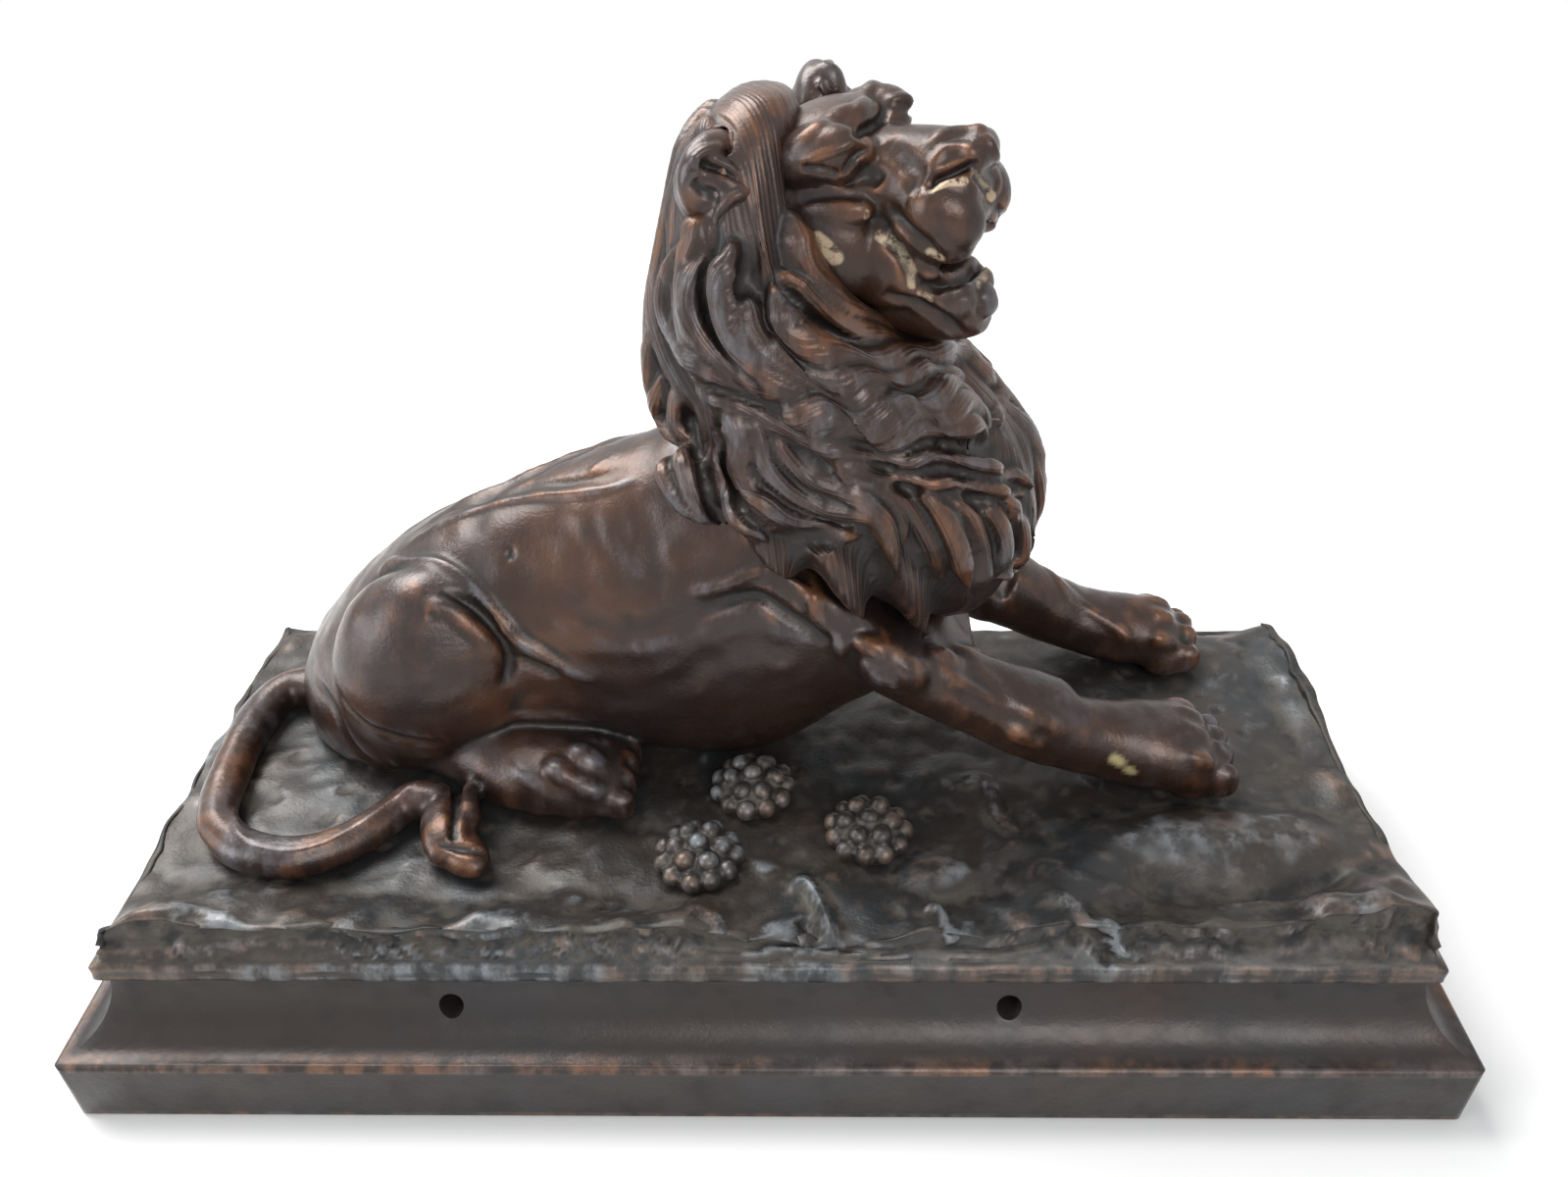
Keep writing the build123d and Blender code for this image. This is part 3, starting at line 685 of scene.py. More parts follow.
        # Raised relief, and a little more where points face up, marks where the patina is worn to copper and
        # where the painted sheen goes.
        self.painted["wear"] = np.clip(raised * 0.5 + 0.15 * (out[:, 2] > 0.3), 0, 1)
        self.painted["hollow"] = np.clip(-raised * 0.5, 0, 1)
        self.write()
        for name, values in self.painted.items():
            layer = self.piece.data.attributes.new(name, "FLOAT", "POINT")
            layer.data.foreach_set("value", values.astype(np.float32))
        self.piece.data.polygons.foreach_set("use_smooth", [True] * len(self.piece.data.polygons))


class Ground:
    """The skin that lines are laid on, before it is carved."""

    probes = range(-24, 25, 3)
    stretch = 1.6
    slack = 3.0

    def __init__(self, points: list, faces: list) -> None:
        """Keep the skin's points, in millimetres, and its faces."""
        self.tree = BVHTree.FromPolygons(points, faces)

    @classmethod
    def of_nodes(cls, nodes: tuple[str, ...]) -> "Ground":
        """Gather CAD nodes' triangles.

        Args:
            nodes: The CAD nodes that lines may rest on.

        Returns:
            The ground.
        """
        points, faces = [], []
        for name in nodes:
            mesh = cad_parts[name].data
            start = len(points)
            points += [vertex.co / MM for vertex in mesh.vertices]
            faces += [[start + v for v in polygon.vertices] for polygon in mesh.polygons]
        return cls(points, faces)

    @classmethod
    def of_skin(cls, skin: Skin) -> "Ground":
        """Take a skin as it is now."""
        faces = [list(polygon.vertices) for polygon in skin.piece.data.polygons]
        return cls([Vector(point) for point in skin.points], faces)

    def lay(self, line: Line, look: From = From.NEAR, steps: int = 5) -> tuple[np.ndarray, np.ndarray]:
        """Lay a line on the skin, as seen from one side.

        Args:
            line: Places (along, up) on the drawing's plane.
            look: Where it is seen from.
            steps: Stretches between two places.

        Returns:
            The line's points, and the outward directions there.
        """
        eye = Vector(look.value[0])
        found: list[Vector] = []
        for along, up in line:
            target = look.target(along, up)
            way = (target - eye).normalized()
            hit, _, _, _ = self.tree.ray_cast(eye, way)
            if hit is None:
                spots = [target + way * shift for shift in self.probes]
                hit = min((self.tree.find_nearest(spot) for spot in spots), key=lambda row: row[3])[0]
            if found and (hit - found[-1]).length > self.stretch * (target - before).length + self.slack:
                reach = (found[-1] - eye).length
                hit = self.tree.find_nearest(eye + way * reach)[0]
            before = target
            found.append(hit)
        smooth = curve_through(np.array(found), steps)
        rows = [self.tree.find_nearest(Vector(point)) for point in smooth]
        return np.array([row[0] for row in rows]), np.array([row[1] for row in rows])


# Every row: a name, two sizes, and the places (along, up) of a line on the drawing's plane, in millimetres.
LOCKS = drawn(
    Lock,
    ("under_cheek", 1.6, 0.9, (4.1, 89.6), (4.9, 85.4), (6.8, 82.4), (10.2, 79.1), (14, 77), (18.9, 76.1)),
    ("cheek_fold", 1.6, 0.7, (3.4, 83.5), (5.9, 80.7), (10, 77.5), (14.6, 75.7), (19.5, 75.2)),
    ("long_crest", 1.8, 1.3, (1.8, 81.4), (2.8, 77.6), (6.8, 75), (12.5, 73.6), (18.4, 74.3), (22.8, 74.2),
     (26.5, 70.7)),
    ("second_crest", 1.6, 1.3, (-0.3, 77.5), (2.5, 73.9), (7.9, 71.6), (13.7, 71.3), (19.1, 72.1),
     (23, 71.6)),
    ("third_crest", 1.6, 1.2, (-1.7, 81.8), (-0.9, 77.2), (2.1, 73), (7.6, 69.9), (14.3, 69.5),
     (19.7, 70.7)),
    ("ear_lock", 1.8, 1, (-2.7, 86.3), (-3.9, 82), (-2.9, 77.2), (1, 72.5), (6.2, 69.3), (12.7, 68.6)),
    ("nape_lock", 1.8, 0.9, (-6.1, 85.5), (-7.4, 80.9), (-6.3, 76.6), (-2.8, 73), (2.7, 70.1), (8.2, 68.1)),
    ("nape_edge", 1.6, 0.8, (-8.1, 86.8), (-9.8, 82), (-9.3, 77.6), (-6.6, 73.5), (-1.8, 70.4),
     (4.9, 67.4)),
    ("fan_top", 1.8, 1.9, (2.6, 68.4), (9.3, 67.1), (16, 67.8), (21.2, 69.7), (25.2, 67.3)),
    ("fan_middle", 1.8, 1.9, (4.3, 67.4), (10.5, 66.1), (17.2, 66.6), (23.3, 67.5), (26.3, 65.3)),
    ("fan_foot", 1.6, 1.5, (6, 66.1), (11.6, 64.8), (17.8, 64.8), (23.5, 65.3), (26.4, 64)),
    ("broad_lock", 2.0, 0.5, (-6.7, 70.9), (0.4, 66.7), (7.1, 63.6), (14, 61.9), (20.9, 61.5), (27.9, 59.6),
     (32.5, 57.7)),
    ("low_broad_lock", 1.8, 0.3, (8.3, 61.3), (12.9, 59.4), (18.8, 58.3), (25.8, 57.7), (31.3, 56.1)),
    ("knob_lock", 1.6, 0.6, (-9, 71.7), (-9.6, 66.2), (-9.2, 61.1), (-8.1, 55.8), (-6.4, 50.5)),
    ("outer_hem_lock", 1.6, 0.3, (-11.4, 71.7), (-12.8, 65.6), (-12.3, 59.1), (-9.9, 53.7), (-6.5, 49.9)),
    ("hem_curl", 1.4, 0.3, (-6, 69.3), (-5.1, 63.7), (-4.7, 57.8), (-3.3, 53), (0.6, 49.8)),
    ("great_curl", 1.8, 0.9, (-3.8, 68.4), (-2.5, 64.3), (-2.4, 60), (-1.3, 56.3), (1.9, 53.6), (7.2, 52.2),
     (11.1, 50.1)),
    ("inner_curl", 1.8, 0.7, (-1.9, 67.7), (-0.6, 64.9), (0.2, 60.8), (2.7, 57.1), (7.4, 54.9),
     (12.5, 53.7), (15.1, 49.2)),
    ("middle_curl", 1.6, 0.5, (0.9, 65.9), (2.6, 62.1), (6, 58.6), (10.7, 56.5), (14.3, 53.2), (15.9, 48.6),
     (16.6, 43.9)),
    ("chest_lock_1", 1.4, 0.2, (8.3, 60.2), (11.8, 58.1), (15.2, 55.6), (16.8, 51.5), (16.7, 47.8)),
    ("chest_lock_2", 1.6, 0.3, (13, 58.6), (16, 56.3), (18.5, 52.9), (20.7, 48.6), (22.1, 43.9)),
    ("chest_lock_3", 1.6, 0.4, (18.2, 57.8), (20.7, 54.9), (23, 50.3), (24.6, 45.7), (25.8, 42.4)),
    ("chest_lock_4", 1.6, 0.3, (22.1, 56.7), (24.9, 53.5), (26.8, 48.6), (27.4, 44.2), (27.3, 41.8)),
    ("chest_lock_5", 1.4, 0.3, (25.9, 55.6), (28.6, 52.1), (29.6, 47.8), (28.4, 43.4)),
    ("chest_lock_6", 1.4, 0.3, (29.4, 55.8), (31.1, 52.1), (31.4, 47.4), (29.6, 43.9)),
    ("chin_lock", 1.6, 0.8, (21.6, 75.6), (24.4, 73.7), (26.7, 70.4)),
    ("far_breast_lock", 1.8, 0.2, (26.7, 75.6), (29.4, 73.7), (31, 69.4), (33.1, 64.5), (33.4, 59.8),
     (32.5, 57.2)),
    ("breast_lock", 1.8, 0.4, (25.7, 69.1), (29.3, 66.2), (32, 62.4), (32.9, 58.5)),
    ("shoulder_edge", 1.6, 0.2, (-11.4, 78.1), (-13.3, 73.3), (-13.6, 66.3), (-12.8, 59.8)),
)

SIDE_STROKES = drawn(
    Stroke,
    ("spine_edge", 0.9, 0.5, (-14.9, 58.9), (-18.6, 57.4), (-22.2, 56.8), (-26.9, 56.5), (-30.5, 55.9),
     (-34.3, 54.8), (-39.4, 52.6), (-44.6, 49.5)),
    ("spine_hollow", 1.1, -0.35, (-16, 60.1), (-22, 58.4), (-27.9, 57.8), (-32.8, 56.4), (-39.2, 54.1)),
    ("flank_pit", 1.1, -0.5, (-32.2, 48.1), (-31.2, 48.1)),
    ("knee_ring", 1.0, -0.25, (-43.4, 38.8), (-42.6, 38.8)),
    ("flank_fold", 1.3, 0.8, (-48.8, 45.1), (-44.5, 44.9), (-41, 43.9), (-37.4, 41.7), (-34.6, 38.6),
     (-32.6, 34.8), (-30.3, 32.9), (-27.1, 30.2), (-22.5, 27.7)),
    ("thigh_crease", 1.2, -1.1, (-41.5, 42.7), (-38.4, 41), (-36, 37.7), (-34.6, 34.2), (-34.2, 31.1),
     (-35.6, 26.9)),
    ("groin_crease", 1, -0.6, (-33.7, 32.2), (-30.9, 30.7), (-27.6, 28.9)),
    ("knee_ridge", 1.7, 0.5, (-44.2, 39.9), (-41, 40.2), (-38.4, 37.1), (-36.3, 33.8), (-34.9, 31.2)),
    ("spine_chip", 0.4, 0.2, (-17.9, 61.7), (-19.8, 60.1), (-21.2, 58.3)),
    ("shoulder_hollow", 2.2, -0.32, (-14.5, 57.1), (-14.3, 51.6), (-13.8, 45.8), (-13.6, 41.3)),
    ("rib_one", 1.8, 0.18, (-19.6, 56.5), (-18.9, 51.6), (-17.2, 45.9), (-15.7, 42.1)),
    ("rib_two", 1.6, 0.13, (-22.9, 55.6), (-21.9, 50.2), (-20.5, 44.4), (-18.7, 41)),
    ("belly_groove", 2.4, -0.3, (-29.4, 42.2), (-24.2, 38.6), (-18.1, 36.7), (-11.6, 37.6), (-6.4, 40.7)),
    ("belly_ridge", 2.8, 0.23, (-28.2, 36.7), (-20.9, 33.2), (-13.1, 34.3), (-5.3, 37.9)),
)

LIMB_STROKES = drawn(
    Stroke,
    ("flank_hollow", 2.6, -0.3, (-29.5, 26.8), (-19.1, 24.8), (-10.9, 28.5), (-2.9, 33.4), (6.1, 32.6)),
    ("arm_ridge", 1.2, 0.55, (-10.1, 42.2), (-4.8, 43.7), (-1.1, 45.8), (3.1, 44), (6.3, 39.4),
     (8.1, 35.3)),
    ("arm_crease", 1.3, -1, (-8.8, 39.5), (-1.7, 41.6), (3, 38.5), (8.3, 34.2)),
    ("shoulder_crease", 1.4, -0.9, (1.4, 49.3), (5, 44.9), (9.3, 42.2), (15, 41.7)),
    ("shoulder_ridge", 2.2, 0.45, (2.4, 50.4), (7, 46.3), (12.2, 44), (15.3, 43.3)),
    ("arm_cord", 1.6, 0.4, (19.8, 38.4), (25.4, 30.4), (33.2, 24), (41.2, 17.9)),
    ("arm_hollow", 1.6, -0.35, (24.1, 26.7), (30, 22.9), (35.6, 19.4)),
    ("wrist_bone", 1.2, 0.35, (32.7, 19.4), (35.9, 16.9), (38.1, 16.1)),
    ("far_arm_ridge", 1.2, 0.4, (34.2, 46.8), (38.8, 41.4), (45.1, 36.5), (46.7, 34.1)),
    ("tail_root_fold", 1, -0.4, (-60.6, 28.6), (-59.5, 23.1), (-58.3, 16.3), (-54.8, 12.1)),
    ("haunch_seam", 1.2, -0.5, (-58.2, 26.1), (-56, 20.8), (-51.1, 17.7), (-45.1, 16.8)),
    ("hind_ankle", 1.2, 0.35, (-38.5, 19.9), (-34.1, 22), (-27.4, 21.6), (-22.2, 20.2)),
)

TUFT_GROOVES = drawn(
    Stroke,
    ("tuft_groove_one", 0.8, -1.0, (-45.2, 9.4), (-46.2, 3.0), (-47.6, -3.4)),
    ("tuft_groove_two", 0.8, -1.0, (-41.4, 10.0), (-42.0, 4.0), (-42.6, -1.0)),
    ("tuft_groove_low", 0.7, -0.7, (-50.0, -3.2), (-46.0, -4.6), (-41.2, -5.0)),
)

TAIL_STROKES = drawn(
    Stroke,
    ("tail_ridge", 0.7, 0.3, (-74.5, 8.7), (-79.1, 1.1), (-77.3, -3.9), (-70.4, -4.7), (-62, -0.1),
     (-53.2, 7.1), (-49.1, 9.7)),
)

TOES = drawn(
    Toe,
    ("hind_toe_one", 1.75, 0.1, (-31, 12.3), (-28.5, 10.2)),
    ("hind_toe_two", 1.7, 0.2, (-27.8, 9.3), (-24.9, 7.1)),
    ("hind_toe_three", 1.7, 0.1, (-27.7, 15.5), (-24.2, 12.9)),
    ("hind_heel", 2.4, 0.6, (-36.8, 12.9), (-31.9, 7.5)),
    ("tuft_lock_one", 1.5, 0.35, (-46.9, 9.5), (-49.7, -5.1)),
    ("tuft_lock_two", 1.35, 0.1, (-43.2, 9.5), (-44.3, -1.3)),
    ("tuft_lock_three", 1.35, 0.35, (-39.6, 10.6), (-40, -0.5)),
    ("tuft_body", 2.8, 0.6, (-45.1, 7.5), (-46.7, -4.6)),
    ("tuft_foot", 1.4, 0.35, (-49.1, -6.4), (-42.2, -9)),
)

ELBOW_CURLS = drawn(
    Toe,
    ("elbow_curl_one", 1.0, 0.1, (8.7, 36.3), (10, 31.8)),
    ("elbow_curl_two", 1.2, 0.1, (10.9, 35), (15.7, 32.7)),
    ("elbow_curl_three", 1.3, 0.1, (12.5, 31.4), (16.9, 26.7)),
    ("elbow_curl_four", 1.1, 0.1, (17.4, 30.8), (20.1, 27.1)),
)

ROCK_STROKES = drawn(
    Stroke,
    ("spur_one", 1.3, 1.3, (2.1, -12.7), (5, -12.4), (7.4, -17.6), (9, -23.9), (10.4, -28.2)),
    ("spur_two", 1.1, 1.1, (22.9, -18.7), (25.2, -18.3), (27.1, -22.2), (28.3, -26.2)),
    ("spur_three", 1.5, 1.3, (41.5, -13.7), (45.9, -17.5), (50.3, -21.4), (54.3, -25.7), (58.6, -29.3)),
    ("spur_four", 1.2, 0.7, (48.6, -17.5), (53.8, -22.1), (58.6, -23.3), (67.8, -23.5)),
    ("left_spur", 1.3, 0.7, (-107, -22.5), (-98.9, -19.4), (-91, -19), (-84.9, -22.2), (-76.4, -22.7)),
    ("berry_spur", 1, 0.7, (-13.7, -17.6), (-9.5, -19.9), (-8.6, -24.7)),
    ("pit_one", 1.2, -1.0, (3.9, -19.9), (6.2, -24.6)),
    ("pit_two", 1.3, -1.0, (46.9, -22.1), (51.4, -26.9), (54.3, -30.5)),
    ("right_ridge", 2.0, 0.9, (68.4, -18.6), (75.7, -17.5), (83, -16.5), (90.5, -16.8), (97, -18.6)),
    ("right_hollow", 2.6, -0.6, (51.3, -15.3), (62.3, -18.2), (71.9, -20.9)),
    ("step_up", 1.6, 0.6, (23.5, 8.6), (30.4, 9.6), (32.4, 2.8), (36.4, -1.3)),
)

SPECKS = drawn(
    Stroke,
    ("paw_speck", 0.9, 1, (48.0, 13.6), (48.9, 12.9)),
    ("small_paw_speck", 0.8, 0.9, (50.3, 11.5), (50.8, 11.1)),
    ("arm_speck", 0.5, 0.8, (40.0, 28.1), (40.4, 27.9)),
)

MANE_CUTS = drawn(
    Stroke,
    ("under_crests", 0.9, -0.8, (-8.3, 73.3), (-1.8, 70.1), (6, 67.9), (13.8, 66.8), (19.3, 68.3)),
    ("under_fan", 1.1, -1.4, (9.4, 63.8), (17.4, 63.3), (25.3, 63.2), (28.1, 61.9)),
    ("under_broad_lock", 0.9, -0.9, (9.5, 59.4), (17.5, 59.9), (25.7, 59.1), (30.9, 57.2)),
    ("under_low_lock", 0.9, -0.8, (14.2, 57.5), (21.2, 56.4), (28.4, 54.7)),
    ("ruff_groove", 0.8, -0.9, (0.1, 91.3), (-0.5, 85.5), (-1.7, 80.3), (-0.3, 76.4)),
    ("ear_lock_groove", 0.7, -0.8, (-2.1, 85.5), (-2.7, 81.4), (-2, 77.5), (1.6, 72.7)),
    ("nape_groove", 0.7, -0.8, (-5.6, 85.5), (-5.7, 81.4), (-4.4, 77.2), (-1.1, 73.7), (2.7, 71.1)),
    ("cheek_groove", 0.7, -0.7, (2.8, 82.5), (4.4, 79.1), (8.7, 76.2), (14.1, 74.5)),
    ("inner_cheek_groove", 0.7, -0.6, (5.5, 85.4), (7.6, 81.3), (11.7, 77.7), (16.7, 76.1)),
    ("curl_groove", 0.7, -0.7, (-3.3, 65.9), (-3.3, 59.8), (-1.8, 54.9), (2.4, 52.1), (8.4, 51.1)),
    ("inner_curl_groove", 0.6, -0.7, (-1.7, 66.2), (-1.1, 61.1), (0.6, 57.1), (4.8, 54.3), (10.5, 52.6)),
    ("hem_groove", 0.6, -0.6, (-4.7, 67.4), (-4.1, 61.1), (-3.2, 55.7), (-0.6, 51.6)),
    ("knob_groove", 0.8, -0.7, (-7.8, 69.9), (-7.9, 63.7), (-7.3, 57.1), (-5.3, 50.9)),
)

FACE_STROKES = drawn(
    Stroke,
    ("upper_lid", 0.7, 0.28, (4.4, 95.1), (6.4, 95.9), (8.4, 96.5), (10, 97.1), (11.4, 96.4)),
    ("eye_slit", 0.5, -0.55, (4.7, 94.7), (6.7, 94.5), (8.5, 93.9)),
    ("eye_inner_corner", 0.5, -0.5, (8.9, 93.8), (9.5, 95.1), (10.4, 96), (11.5, 96.6)),
    ("lower_lid", 0.6, 0.15, (5.5, 93.8), (7.5, 93.6), (9.1, 93.2)),
    ("brow", 1.2, 0.35, (3.4, 96.5), (5.7, 98.4), (8, 99.8), (10.7, 100.5), (12.6, 100.6)),
    ("brow_crease", 0.7, -0.65, (12.9, 100.6), (12.5, 99.2), (11, 98.3), (9.6, 97.6)),
    ("far_brow", 0.9, 0.5, (12.9, 100.8), (14.7, 101.2), (16.7, 100.8)),
    ("cheekbone", 1, 0.3, (3.7, 92.2), (7.9, 92.8), (11.3, 92.5), (13.7, 92.6)),
    ("below_cheekbone", 0.8, -0.3, (4.4, 91.5), (7.9, 91.9), (11, 91.5)),
    ("tear_hollow", 1.4, -0.45, (10.1, 94.7), (11.7, 93.9), (12.8, 93)),
    ("bridge_side", 1.4, -0.5, (13.2, 97.1), (15.3, 95.4), (16.4, 93.5), (15.4, 92.1)),
    ("nose_ridge", 1.2, 0.5, (17.5, 96.5), (19, 97.9), (21.4, 98.6), (23.2, 98.1)),
    ("nostril_wing", 0.9, 0.35, (17.4, 94.4), (18.9, 96.3), (20.8, 96.5), (22.3, 95.4)),
    ("nostril", 0.7, -1, (17.4, 92.2), (18.4, 93.5), (20.6, 94.4), (22.6, 94.8)),
    ("nose_rim", 0.7, 0.35, (22.6, 97.9), (24.1, 96), (24.5, 93.6), (24.1, 91.2)),
    ("nostril_front", 0.6, -0.6, (21.9, 94), (23, 92.9), (24.2, 91.3)),
    ("whisker_pad", 3, 0.35, (15.5, 91.2), (19, 90.3), (22, 88.8), (23.4, 86.8)),
    ("whisker_pad_foot", 1.5, 0.4, (18.2, 87.1), (20.9, 85.2), (23.5, 85.9)),
    ("pad_crease", 1.2, -0.8, (13.5, 90.5), (15.3, 88.7), (17.7, 86.6), (20, 85.3)),
    ("mouth", 1, -1, (25.6, 86.3), (23.8, 84.7), (21.5, 83.1), (18.7, 82.1), (16.6, 82.9)),
    ("lower_lip", 0.7, 0.3, (25.4, 84.1), (23.7, 82.6), (21.3, 81.6), (19.3, 81.5)),
    ("lip_corner", 1, -0.6, (13.4, 87.7), (15.1, 85.8), (16.1, 83.7), (17.2, 82.1)),
    ("jaw_crease", 1.2, -0.8, (13.3, 81.7), (17.1, 80.2), (20, 78.5), (22.6, 76.5)),
    ("lip_parting", 0.6, -0.5, (24.4, 91), (25.1, 88.8), (24.9, 86.5)),
    ("ear_top_rim", 0.8, 0.6, (-6.6, 94.8), (-5.4, 96.2), (-2.9, 96.6), (-0.4, 96)),
    ("ear_upper_hollow", 0.65, -0.8, (-5.6, 95.2), (-3.4, 94.6), (-1.1, 93.4)),
    ("ear_back_hollow", 0.9, -0.5, (-6.4, 93.7), (-5.5, 92.5), (-3.7, 91.9)),
    ("ear_fold", 0.75, 0.6, (-0.5, 92.7), (-2.2, 91.9), (-3.7, 90.5), (-4.6, 88)),
    ("ear_low_hollow", 0.95, -1.3, (0, 89.6), (-1.5, 89.2), (-2.9, 88.4), (-3.8, 87.5)),
)

FACE_CHALK = drawn(
    Stroke,
    ("chalk_cheek", 1.01, 1, (6.3, 87.3), (7.2, 86.5), (8.2, 85.4)),
    ("chalk_corner", 0.78, 1, (12.9, 87.7), (14.7, 86.4), (16.1, 84), (16.6, 82.4)),
    ("chalk_pad", 0.7, 0.8, (18.1, 85.8), (19.2, 85.3)),
    ("chalk_nostril", 0.55, 0.9, (17.9, 92.3), (19.5, 93.1), (21.2, 93.2)),
    ("chalk_nose", 0.62, 1, (22.2, 93.8), (23.3, 92.6), (24.1, 91.6)),
    ("chalk_lip", 0.7, 0.8, (25.3, 85.3), (24.4, 84), (23.3, 82.3)),
    ("chalk_spot", 0.39, 1, (11.4, 90.1), (11.4, 89.7)),
    ("chalk_mouth", 0.47, 0.8, (17.3, 81.5), (18.4, 80.6)),
)


# ---------------------------------------------------------------- pieces


@dataclass
class Piece:
    """A visible piece that stands for one or more CAD nodes."""

    name: str
    nodes: tuple[str, ...]
    slot: Slot
    made: bpy.types.Object | None = None

    def build(self) -> None:
        """Make the piece's mesh."""
        raise NotImplementedError

    def dress(self, finishes: dict[Slot, bpy.types.Material]) -> None:
        """Give the piece its finish and its body, and hide the CAD nodes that it stands for.

        Args:
            finishes: The materials by slot.
        """
        mesh = self.made.data
        mesh.materials.clear()
        mesh.materials.append(finishes[self.slot])
        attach(self.made, "root")
        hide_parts(*self.nodes)
        LOG.info("%s: %d points", self.name, len(mesh.vertices))


@dataclass
class Plinth(Piece):
    """The stepped base: a band, a cove and a flat seat for the rock."""

    edge: float = 0.5

    def build(self) -> None:
        """Soften the moulded base's edges."""
        piece = gathered(self.name, [copied("plinth")])
        with editing():
            bpy.ops.mesh.dissolve_limited(angle_limit=math.radians(1.0))
        worn = piece.modifiers.new("worn", "BEVEL")
        worn.width = self.edge * MM
        worn.segments = 3
        worn.limit_method = "ANGLE"
        worn.angle_limit = math.radians(28)
        bpy.ops.object.modifier_apply(modifier="worn")
        bpy.ops.object.shade_smooth_by_angle(angle=math.radians(40))
        self.made = piece


